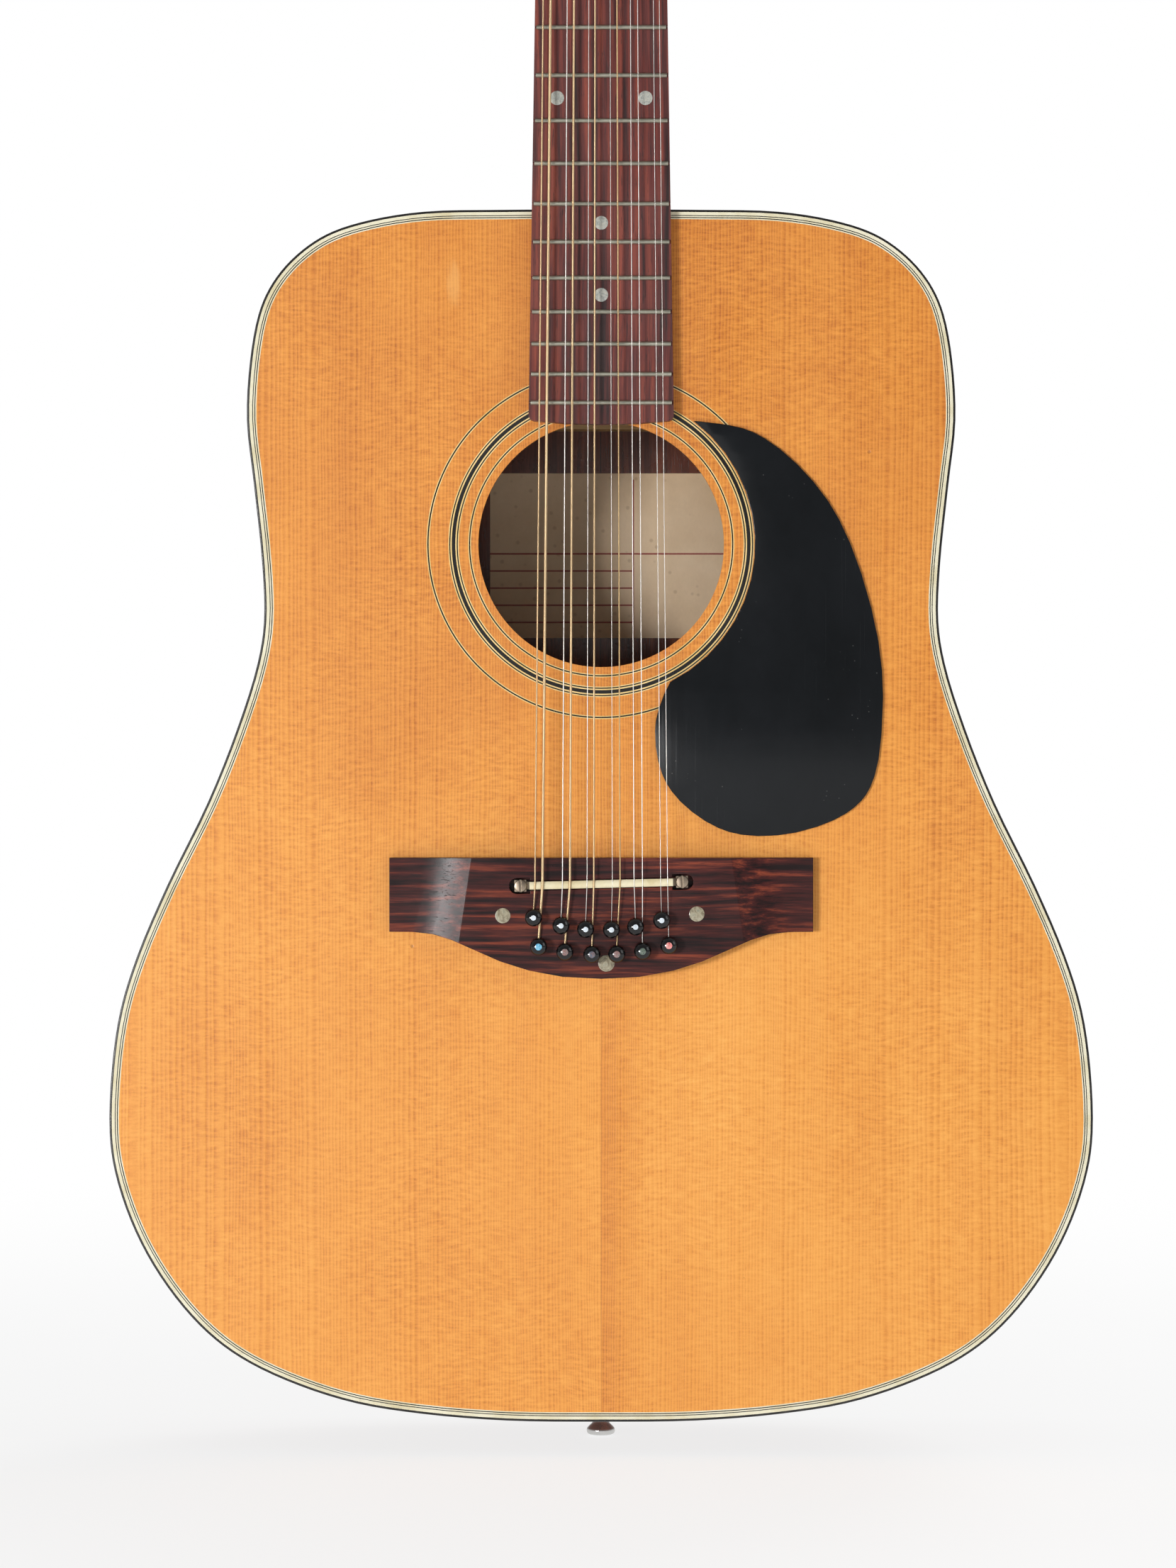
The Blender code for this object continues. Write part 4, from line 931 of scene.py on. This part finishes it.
HOLE_COUNT = 160
hole = [(SOUNDHOLE_R * math.cos(a), SOUNDHOLE_Z + SOUNDHOLE_R * math.sin(a))
        for a in (2 * math.pi * i / HOLE_COUNT for i in range(HOLE_COUNT))]
show("top_plate", plate([inset(4.0), hole], TOP_Y, TOP_Y + PURFLING_DEPTH), "spruce_top",
     replaces=("soundboard",))

# ---- rosette, label ------------------------------------------------------------------------------

# (inner radius, outer radius) of the rings
ROSETTE = {
    "cream": [(54.26, 54.62), (55.16, 55.52), (59.4, 59.8), (60.3, 60.85), (62.35, 62.9),
              (63.4, 63.8), (71.6, 71.97), (72.55, 72.92)],
    "black": [(54.62, 55.16), (59.8, 60.3), (60.85, 62.35), (62.9, 63.4), (71.97, 72.55)],
}
RING_SUNK, RING_PROUD = -0.3, 0.035
for tint, look, slot in (("cream", "rosette_cream", "cream_binding"),
                         ("black", "black_binding", "black_plastic")):
    shape = bmesh.new()
    for r0, r1 in ROSETTE[tint]:
        lathe(shape, [(r0, RING_SUNK), (r1, RING_SUNK), (r1, RING_PROUD), (r0, RING_PROUD),
                      (r0, RING_SUNK)], facing(0, TOP_Y, SOUNDHOLE_Z), 180)
    show(f"rosette_{tint}", shape, look)

LABEL_X, LABEL_Z = (-48.4, 77.0), (343.1, 415.2)
LABEL_DEPTH, LABEL_T, LABEL_CURL = 2.85, 0.16, 0.6     # depth is from the outside of the back
LABEL_COLUMNS, LABEL_ROWS = 60, 16


def label_sheet():
    """The paper label, glued flat to the inside of the back, its corners a little lifted."""
    shape = bmesh.new()
    layers = []
    for lift in (0.0, LABEL_T):
        grid = []
        for j in range(LABEL_ROWS + 1):
            up = j / LABEL_ROWS
            z = LABEL_Z[0] + (LABEL_Z[1] - LABEL_Z[0]) * up
            row = []
            for i in range(LABEL_COLUMNS + 1):
                along = i / LABEL_COLUMNS
                x = LABEL_X[0] + (LABEL_X[1] - LABEL_X[0]) * along
                near_side = max(0.0, (abs(along - 0.5) * 2 - 0.9) / 0.1)
                near_end = max(0.0, (abs(up - 0.5) * 2 - 0.75) / 0.25)
                y = back_y(z) - LABEL_DEPTH - LABEL_CURL * near_side * near_end - lift
                row.append(shape.verts.new(Vector((x, y, z)) * MM))
            grid.append(row)
        layers.append(grid)
        for row, following in zip(grid, grid[1:]):
            stitch(shape, row, following, closed=False)

    def border(grid):
        return (grid[0] + [row[-1] for row in grid[1:]] + grid[-1][-2::-1]
                + [row[0] for row in grid[-2:0:-1]])

    stitch(shape, border(layers[0]), border(layers[1]))
    return shape


show("soundhole_label", label_sheet(), "label_paper", angle=60)

# ---- inlays --------------------------------------------------------------------------------------


def disc(shape, r, matrix, proud=0.04, dome=0.0):
    lathe(shape, [(0, -0.5), (r, -0.5), (r, proud - 0.02), (r - 0.06, proud),
                  (r * 0.5, proud + dome * 0.75), (0, proud + dome)], matrix, 36)


def fret_z(number):
    return NUT_Z - SCALE_LENGTH * (1 - 2 ** (-number / 12))


def behind_fret(number):
    return (fret_z(number) + fret_z(number - 1)) / 2


shape = bmesh.new()
for number in (3, 5, 7, 9, 15, 17):
    disc(shape, 2.85, facing(0, BOARD_TOP_Y, behind_fret(number)))
for x in (-18.4, 18.4):
    disc(shape, 2.95, facing(x, BOARD_TOP_Y, behind_fret(12)))
show("fingerboard_dots", shape, "pearl")

shape = bmesh.new()
for x, z, r in ((-40.9, 224.4, 3.15), (39.7, 225.1, 3.15), (2.1, 204.6, 3.4)):
    disc(shape, r, facing(x, BRIDGE_FACE_Y, z), proud=0.06, dome=0.05)
show("bridge_dots", shape, "pearl_warm")

# ---- bridge pins ---------------------------------------------------------------------------------

PIN_DROP = 0.8                                # a pin stands this far tailwards of its place
BALL_R, BALL_RISE, BALL_H = 3.6, 2.42, 5.05   # half width, half height and centre of the ball
# (radius, height) from the tip in the bridge plate up through the collar
PIN_SHANK = [(0, -23.6), (1.2, -23.6), (1.65, -14.0), (1.65, -0.6), (1.45, 0.1), (1.45, 2.9),
             (2.2, 3.15), (2.85, 3.35)]
# row, pin places, dot radius, dot looks from the bass side
PIN_ROWS = [
    ("front", FRONT_PINS, 1.1, ["pearl_pin"] * 6),
    ("back", BACK_PINS, 1.4, ["abalone_blue", "abalone_pink", "abalone_dusk", "abalone_pink",
                              "abalone_green", "abalone_coral"]),
]


def pin_profile():
    angles = [math.radians(-32 + (90 + 32) * i / 12) for i in range(12)]
    ball = [(BALL_R * math.cos(a), BALL_H + BALL_RISE * math.sin(a)) for a in angles]
    return PIN_SHANK + ball + [(0, BALL_H + BALL_RISE)]


def pin_dot_profile(size):
    """The dot's face follows the pin's ball and stands a hair above it."""
    dome = [(size * share,
             BALL_RISE * math.sqrt(1 - (size * share / BALL_R) ** 2) + BALL_H + 0.04)
            for share in (1.0, 0.8, 0.6, 0.3, 0.0)]
    sunk = dome[0][1] - 0.5
    return [(0, sunk), (size, sunk)] + dome


for row, pins, dot_r, dot_looks in PIN_ROWS:
    seats = [facing(x, BRIDGE_FACE_Y, z - PIN_DROP) for x, z in pins]
    shape = bmesh.new()
    for seat in seats:
        lathe(shape, pin_profile(), seat, 36)
    show(f"pins_{row}", shape, "pin_plastic",
         replaces=(f"bridge_pins_{row}",), angle=50)
    for look in sorted(set(dot_looks)):
        shape = bmesh.new()
        for seat, own in zip(seats, dot_looks):
            if own == look:
                lathe(shape, pin_dot_profile(dot_r), seat, 24)
        show(f"pin_dots_{row}_{look.split('_')[-1]}", shape, look)

# ---- saddle screws -------------------------------------------------------------------------------

SADDLE_SCREW_X = 33.6
SADDLE_SCREW = [(0, 60.95), (1.45, 60.95), (1.45, 66.7), (2.55, 66.7), (2.6, 66.85), (2.6, 67.55),
                (2.45, 67.8), (2.2, 67.9), (0, 67.9)]     # (radius, height towards -Y)
for end, x in (("bass", -SADDLE_SCREW_X), ("treble", SADDLE_SCREW_X)):
    node = f"saddle_screw_{end}"
    shape = bmesh.new()
    lathe(shape, SADDLE_SCREW, facing(x, 0, 0, SADDLE_FRAME), 40)
    slot_box = solid_box((x - 0.45, -69, -4), (x + 0.45, -67.0, 4), SADDLE_FRAME)
    show(f"saddle_bolt_{end}", cut(finished(shape, node), slot_box), "old_nickel", body=node,
         replaces=(node,), angle=30)

# ---- strings -------------------------------------------------------------------------------------

STRING_NUT_Y = -66.9          # bottom of the nut's string slots
STRING_PIN_END_Y = -53.0      # the string's end inside the bridge
WINDING_Y = -3.5              # where a string meets its post, in the headstock's frame
STRING_PINS = [pin for pair in zip(FRONT_PINS, BACK_PINS) for pin in pair]


def in_head(x, y, z):
    """A point of the headstock's frame, in the guitar's."""
    return HEAD @ (Vector((x, y, z)) * MM) / MM


def winding_path(post_x, post_z, side, r):
    """The string's turns round its post, ending towards the post's middle."""
    pitch = 2 * r * 1.04
    turns = min(4.0, 1.75 / pitch) if r < 0.4 else 1.35
    steps = max(12, int(turns * 28))
    coil = []
    for i in range(steps + 1):
        a = 2 * math.pi * turns * i / steps
        coil.append((post_x - side * (POST_R + r) * math.cos(a),
                     WINDING_Y + pitch * a / (2 * math.pi),
                     post_z + (POST_R + r) * math.sin(a)))
    x, y, z = coil[-1]
    coil.append((post_x + (x - post_x) * 0.3, y - r, post_z + (z - post_z) * 0.3))
    return [in_head(*point) for point in coil]


for i, ((saddle_x, nut_x, r, look), (pin_x, pin_z)) in enumerate(zip(STRINGS, STRING_PINS)):
    side = -1 if i < 6 else 1
    post = i if i < 6 else 17 - i
    post_x, post_z = POSTS[post]
    path = rounded([
        (pin_x, STRING_PIN_END_Y, pin_z + 1.75),
        (pin_x, BRIDGE_FACE_Y - 0.1 - r, pin_z + 1.8),
        (saddle_x, SADDLE_TOP_Y - r, SADDLE_Z + saddle_x * math.tan(SADDLE_TILT)),
        (nut_x, STRING_NUT_Y - r, NUT_Z + 0.2),
        (nut_x, STRING_NUT_Y - r, NUT_Z + NUT_T + 0.3),
        in_head(post_x - side * (POST_R + r), WINDING_Y, post_z)], 1.4)
    shape = bmesh.new()
    tube(shape, path, r)
    show(f"string_{i + 1:02d}", shape, look,
         replaces=() if i else ("strings",), angle=60)
    # the turns go with the post
    shape = bmesh.new()
    tube(shape, winding_path(post_x, post_z, side, r), r, 12)
    show(f"winding_{post + 1:02d}", shape, look, body=f"tuner_post_{post + 1:02d}",
         angle=60)

# ---- neck and headstock --------------------------------------------------------------------------

NUT_W, BOARD_END_W, BOARD_END_Z = 46.8, 60.6, 430.2
HEEL_DEPTH, SHAFT_DEPTH, HEAD_T = 97.8, 14.9, 14.7
SHAFT_END_Z = 868     # below the nut; from here the section turns into the headstock's
HEAD_END_HALF = 40.5
# half sections: (share of half width, share of depth) from the front edge to the back's middle
ROUND = [(1.0, 0.0), (0.997, 0.10), (0.985, 0.22), (0.95, 0.38), (0.90, 0.51), (0.83, 0.63),
         (0.73, 0.75), (0.60, 0.85), (0.45, 0.925), (0.27, 0.98), (0.13, 0.995), (0.0, 1.0)]
HEEL = [(1.0, 0.0), (0.955, 0.06), (0.90, 0.14), (0.82, 0.25), (0.74, 0.36), (0.66, 0.48),
        (0.58, 0.60), (0.51, 0.72), (0.45, 0.85), (0.40, 0.95), (0.37, 1.0), (0.0, 1.0)]
SQUARE = [(0.992, 0.0), (1.0, 0.05), (1.0, 0.25), (1.0, 0.45), (1.0, 0.65), (1.0, 0.80),
          (0.996, 0.92), (0.985, 0.97), (0.96, 0.998), (0.70, 1.0), (0.35, 1.0), (0.0, 1.0)]
# (z, depth of wood behind the fingerboard, share of heel shape)
NECK_STATIONS = [
    (519.1, HEEL_DEPTH, 1.0), (527, HEEL_DEPTH, 1.0), (535.5, HEEL_DEPTH, 1.0),
    (540, 72, 0.95), (548, 50, 0.75), (558, 33, 0.45), (570, 23, 0.2), (584, 18.6, 0.05),
    (610, 17.2, 0.0), (700, 16.2, 0.0), (800, 15.3, 0.0), (SHAFT_END_Z, SHAFT_DEPTH, 0.0),
]
# (half width, z in the headstock's frame): curved shoulders, straight sides, then the top end
HEAD_SHOULDER = [(23.7, 0), (25.0, 8), (29.5, 15.5), (35.5, 21), (38.8, 27), (39.5, 36)]
HEAD_SIDE = [(40.0, 100), (40.4, 165), (HEAD_END_HALF, 176)]
HEAD_CREST = [(HEAD_END_HALF, 176), (40.0, 179.4), (37.0, 182.5), (31.0, 184.2), (24.0, 184.8),
              (17.0, 184.5), (10.0, 183.6), (0, 182.4)]


def board_half(z):
    return (NUT_W + (BOARD_END_W - NUT_W) * (NUT_Z - z) / (NUT_Z - BOARD_END_Z)) / 2


def neck_section(target, share, half, depth, front=0.0):
    """The right half of a section part way from ROUND to target, as (x, y) from its front."""
    return [((ax + (bx - ax) * share) * half, front + (ay + (by - ay) * share) * depth)
            for (ax, ay), (bx, by) in zip(ROUND, target)]


def neck_rows():
    """(right half section, its frame) from the heel to the top of the headstock's sides."""
    rows = []
    for z, depth, heel in catmull(NECK_STATIONS[:3], 2)[:-1] + catmull(NECK_STATIONS[2:], 8):
        heel = min(1.0, max(0.0, heel))
        rows.append((neck_section(HEEL, heel, board_half(z) - 0.05, min(HEEL_DEPTH, depth)),
                     move(0, TOP_Y, z)))
    # through the nut: the section turns square and tips back with the headstock
    for i in range(1, 9):
        t = i / 8
        ease = t * t * (3 - 2 * t)
        z = SHAFT_END_Z + (NUT_Z + NUT_T + 0.9 - SHAFT_END_Z) * t
        half = board_half(min(z, NUT_Z)) + (23.9 - board_half(NUT_Z)) * ease
        depth = SHAFT_DEPTH + (HEAD_T - SHAFT_DEPTH) * ease
        rows.append((neck_section(SQUARE, 0.55 * ease, half, depth, front=0.3 * ease),
                     move(0, TOP_Y, z) @ Matrix.Rotation(-HEAD_TILT * 0.35 * ease, 4, "X")))
    for half, z in catmull(HEAD_SHOULDER, 5) + HEAD_SIDE:
        if z >= 2.5:
            square = min(1.0, 0.62 + (z - 2) / 26)
            rows.append((neck_section(SQUARE, square, half, HEAD_T, front=1.8),
                         HEAD @ move(0, 0, z)))
    return rows


def neck_shape():
    """The shaft with its heel, running into the tilted headstock: one skin."""
    shape = bmesh.new()
    rings = []
    for points, matrix in neck_rows():
        both = points + [(-x, y) for x, y in points[-2::-1]]
        rings.append([shape.verts.new(matrix @ Vector((x * MM, y * MM, 0))) for x, y in both])
    for ring, following in zip(rings, rings[1:]):
        stitch(shape, ring, following)
    shape.faces.new(rings[0])
    # the headstock's crown: one more ring, raised to the crest outline
    crest = []
    for vert in rings[-1]:
        local = HEAD.inverted() @ vert.co / MM
        reach = abs(local.x) * 0.985
        for (outer, outer_z), (inner, inner_z) in zip(HEAD_CREST, HEAD_CREST[1:]):
            if inner <= reach <= outer:
                rise = outer_z + (inner_z - outer_z) * (outer - reach) / (outer - inner)
        crest.append(shape.verts.new(HEAD @ (Vector((local.x * 0.985, local.y, rise)) * MM)))
    stitch(shape, rings[-1], crest)
    shape.faces.new(crest)
    return shape


show("neck_carved", neck_shape(), "neck_wood", replaces=("neck",), angle=34)

# ---- tuning machines, in the headstock's frame ---------------------------------------------------

WORM_RISE, WORM_Y = 7.0, 20.7              # the worm's axis: above its post, behind the face
GEAR_TEETH, GEAR_Y0, GEAR_Y1 = 14, 19.2, 22.2
WORM_LEAD = 2 * math.pi * 4.9 / GEAR_TEETH
WORM_TURNS, WORM_STEPS_PER_TURN = 3, 26
BORE_Y = -9.0
# (share of a tooth, radius) across one gear tooth
TOOTH = [(-0.40, 4.2), (-0.09, 5.38), (0.0, 5.5), (0.09, 5.38), (0.40, 4.2)]
# the rest are (radius, height): heights go out of the headstock's back, or its edge for the worm
POST = [(0, -14.0), (2.2, -14.0), (2.75, -13.7), (POST_R, -13.2), (POST_R, -11.2), (2.72, -10.6),
        (2.62, BORE_Y), (2.72, -7.4), (POST_R, -6.6), (POST_R, 20.0), (0, 20.0)]
GEAR_CAP = [(0, GEAR_Y1 - 0.2), (2.1, GEAR_Y1 - 0.2), (2.1, GEAR_Y1 + 0.5),
            (1.7, GEAR_Y1 + 0.95), (0, GEAR_Y1 + 1.0)]
WORM = [(0, -7.6), (1.1, -7.6), (1.4, -7.3), (1.4, 8.4), (1.9, 8.6), (2.3, 9.2), (2.3, 10.0),
        (1.6, 10.6), (1.45, 12.0), (1.6, 13.2), (2.6, 14.0), (2.6, 15.0), (2.0, 15.6),
        (1.5, 17.0), (0, 17.0)]
FERRULE = [(3.15, 1.2), (3.15, -1.35), (3.5, -1.6), (4.3, -1.55), (4.7, -1.1), (4.8, -0.7),
           (6.2, -0.55), (6.5, -0.2), (6.5, 0.02), (4.2, 0.02), (4.2, 1.2), (3.15, 1.2)]


def down_y(x, y, z):
    """A local frame whose Z axis points out of the headstock's back."""
    return HEAD @ move(x, y, z) @ Matrix.Rotation(-math.pi / 2, 4, "X")


def post_shape(x, z):
    """A post with its string hole, and the gear and its cap on its tail."""
    shaft, bore = bmesh.new(), bmesh.new()
    lathe(shaft, POST, down_y(x, 0, z), 36)
    lathe(bore, [(0, -5), (0.85, -5), (0.85, 5), (0, 5)], HEAD @ move(x, BORE_Y, z), 14)
    teeth = []
    for i in range(GEAR_TEETH):
        for share, r in TOOTH:
            a = 2 * math.pi * (i + share) / GEAR_TEETH + math.pi / 2
            teeth.append((x + r * math.cos(a), z + r * math.sin(a)))
    shape = bmesh.new()
    shape.from_mesh(cut(finished(shaft, "post"), finished(bore, "bore")))
    shape.from_mesh(plate([teeth], GEAR_Y0, GEAR_Y1, HEAD))
    lathe(shape, GEAR_CAP, down_y(x, 0, z), 28)
    return shape


def worm_shape(x, z, side):
    """The worm's shaft and collars, with its screw thread."""
    centre = HEAD @ move(x, WORM_Y, z + WORM_RISE)
    shape = bmesh.new()
    lathe(shape, WORM, centre @ Matrix.Rotation(math.pi / 2 * side, 4, "Y"), 28)
    rings = []
    steps = WORM_TURNS * WORM_STEPS_PER_TURN
    for i in range(steps + 1):
        a = 2 * math.pi * WORM_TURNS * i / steps
        crest = 1.0 + 1.38 * min(1.0, i / 10, (steps - i) / 10)
        middle = WORM_LEAD * (a / (2 * math.pi) - WORM_TURNS / 2)
        rings.append([
            shape.verts.new(centre @ (Vector((middle + dx, r * math.sin(a), -r * math.cos(a)))
                                      * MM))
            for dx, r in ((-0.85, 1.0), (-0.14, crest), (0.14, crest), (0.85, 1.0))])
    for ring, following in zip(rings, rings[1:]):
        stitch(shape, ring, following)
    shape.faces.new(rings[0])
    shape.faces.new(rings[-1])
    return shape


def button_shape(x, z, side):
    """A tuner's button: a squared ball, a little waisted."""
    def squarer(value, power):
        return math.copysign(abs(value) ** power, value)

    shape = bmesh.new()
    bmesh.ops.create_uvsphere(shape, u_segments=36, v_segments=24, radius=1.0)
    for vert in shape.verts:
        out, back, up = vert.co
        waist = 1.0 - 0.10 * math.exp(-(((out + 0.75) / 0.35) ** 2))
        thick = 4.15 * squarer(back, 0.9) * (0.86 + 0.14 * abs(up)) * waist
        vert.co = HEAD @ (Vector((x + side * (23.5 + 7.75 * squarer(out, 0.86)), WORM_Y + thick,
                                  z + WORM_RISE + 8.35 * squarer(up, 0.8) * waist)) * MM)
    return shape


for i, (x, z) in enumerate(POSTS):
    number = f"{i + 1:02d}"
    side = 1 if x > 0 else -1
    post, key = f"tuner_post_{number}", f"tuner_key_{number}"
    show(f"post_{number}", post_shape(x, z), "nickel", body=post,
         replaces=(post,), angle=32)
    show(f"worm_{number}", worm_shape(x, z, side), "nickel", body=key,
         replaces=(key,), angle=36)
    show(f"button_{number}", button_shape(x, z, side), "chrome", body=key,
         angle=70)

shape = bmesh.new()
for x, z in POSTS:
    lathe(shape, FERRULE, down_y(x, 0, z), 40)
show("post_ferrules", shape, "nickel", angle=30)

# ---- headstock screws ----------------------------------------------------------------------------


def slotted_screw(shape, matrix, turn, r, h):
    """A domed wood screw head with its slot, seated on the local XY plane."""
    matrix = matrix @ Matrix.Rotation(turn, 4, "Z")
    head = bmesh.new()
    lathe(head, [(0, -0.4), (r * 0.9, -0.4), (r, 0.0), (r * 0.94, h * 0.45), (r * 0.7, h * 0.82),
                 (r * 0.35, h * 0.97), (0, h)], matrix, 24)
    half_slot = 0.14 * r + 0.08
    groove = solid_box((-r * 1.3, -half_slot, h * 0.35), (r * 1.3, half_slot, h * 2), matrix)
    slotted = cut(finished(head, "head"), groove)
    shape.from_mesh(slotted)
    bpy.data.meshes.remove(slotted)


PLATE_SCREW_Z = [30.2] + [POST_Z + POST_PITCH * i + 14.4 for i in range(5)] + [168.0]
shape = bmesh.new()
for side in (-1, 1):
    for i, z in enumerate(PLATE_SCREW_Z):
        slotted_screw(shape, down_y(side * 28, 17.8, z), turn=0.5 + 1.3 * i + side, r=1.9, h=0.8)
show("plate_screws", shape, "nickel", angle=30)

shape = bmesh.new()
for x, z in ((-9.2, 6.8), (9.2, 6.8), (0, 38.4)):
    slotted_screw(shape, facing(x, -1.7, z, HEAD), turn=0.4 + x, r=1.5, h=0.55)
show("cover_screws", shape, "nickel", angle=30)

# ---- end button ----------------------------------------------------------------------------------

# (radius, z) from the tip inside the tail block, down the curved waist, to the dished end
BUTTON_STEM = [(0, 31.5), (0.4, 31.5), (1.8, 27.5), (1.9, 12.8), (4.5, 12.8), (4.6, 12.5)]
BUTTON_WAIST = [(4.45, 12.0), (3.6, 9.4), (3.3, 6.6), (3.8, 4.9), (5.2, 3.5), (6.0, 2.5),
                (6.1, 1.5), (5.75, 0.5), (4.9, 0.0)]
BUTTON_DISH = [(2.7, 0.0), (2.6, 0.35), (0, 0.35)]
shape = bmesh.new()
waist = [tuple(p) for p in catmull(BUTTON_WAIST, 4)]
lathe(shape, BUTTON_STEM + waist + BUTTON_DISH, count=48)
show("strap_button", shape, "chrome", replaces=("end_button",), angle=30)

# ---- studio, in metres ---------------------------------------------------------------------------


def add_floor():
    """A pale disc that glows to plain white away from the guitar."""
    shape = bmesh.new()
    bmesh.ops.create_circle(shape, cap_ends=True, segments=160, radius=6.0)
    for vert in shape.verts:
        vert.co.z = -0.0008
    mesh = bpy.data.meshes.new("floor")
    shape.to_mesh(mesh)
    shape.free()
    floor = bpy.data.objects.new("floor", mesh)
    bpy.context.scene.collection.objects.link(floor)
    look = Look("pale_floor")
    x, y, z = look.split(look.place())
    tint = look.noise(3, detail=3)
    look.colour(look.ramp(tint, (0.3, (0.80, 0.80, 0.80)), (0.7, (0.86, 0.86, 0.86))))
    look.rough(0.7)
    glow = look.node("Emission", {"Color": (1, 1, 1), "Strength": 1.0})
    share = look.span(look.distance(x, y), 0.10, 1.4, to=(0.80, 1.0))
    blend = look.node("MixShader", {0: share, 1: look.shader.outputs[0], 2: glow.outputs[0]})
    look.feed(look.tree.nodes["Material Output"], "Surface", blend.outputs[0])
    mesh.materials.append(look.mat)


def add_world():
    """White to the camera; as light, dimmer from -Y than from +Y."""
    world = bpy.data.worlds.new("studio")
    bpy.context.scene.world = world
    world.use_nodes = True
    nodes, link = world.node_tree.nodes, world.node_tree.links.new
    background = nodes["Background"]
    way = nodes.new("ShaderNodeTexCoord")
    parts = nodes.new("ShaderNodeSeparateXYZ")
    level = nodes.new("ShaderNodeMapRange")
    level.interpolation_type = "SMOOTHSTEP"
    for key, value in (("From Min", -0.9), ("From Max", 0.35), ("To Min", 0.22),
                       ("To Max", 0.56)):
        level.inputs[key].default_value = value
    path = nodes.new("ShaderNodeLightPath")
    seen = nodes.new("ShaderNodeMix")     # inputs 2 and 3 are its two strengths
    seen.inputs[3].default_value = 1.0
    link(way.outputs["Generated"], parts.inputs[0])
    link(parts.outputs["Y"], level.inputs["Value"])
    link(path.outputs["Is Camera Ray"], seen.inputs[0])
    link(level.outputs["Result"], seen.inputs[2])
    link(seen.outputs[0], background.inputs["Strength"])
    background.inputs["Color"].default_value = (1, 1, 1, 1)


def lamp(name, place, size, power, aim=(0, 0, 0.3)):
    """A rectangular area light, in watts, turned to aim."""
    light = bpy.data.lights.new(name, "AREA")
    light.shape = "RECTANGLE"
    light.size, light.size_y = size
    light.energy = power
    holder = bpy.data.objects.new(name, light)
    holder.location = place
    toward = Vector(aim) - Vector(place)
    holder.rotation_euler = toward.to_track_quat("-Z", "Y").to_euler()
    bpy.context.scene.collection.objects.link(holder)


def add_camera():
    """Level, square on to the soundboard, two metres off."""
    data = bpy.data.cameras.new("camera")
    data.sensor_width = 36.0
    data.lens = 110.07
    data.clip_start, data.clip_end = 0.05, 40.0
    camera = bpy.data.objects.new("camera", data)
    camera.location = (-0.0055, TOP_Y * MM - 2.0, 0.2791)
    camera.rotation_euler = (math.pi / 2, 0, 0)
    bpy.context.scene.collection.objects.link(camera)
    bpy.context.scene.camera = camera
    view = bpy.context.scene.view_settings
    view.view_transform, view.look, view.exposure, view.gamma = "Standard", "None", 0.0, 1.0


add_floor()
add_world()
lamp("key", place=(-1.6, -2.7, -0.02), size=(0.62, 0.9), power=116.0)
lamp("fill", place=(2.9, -1.6, 1.6), size=(1.6, 1.8), power=14.0)
lamp("rear", place=(1.6, 3.2, 1.9), size=(1.8, 1.8), power=70.0, aim=(0, 0, 0.5))
add_camera()
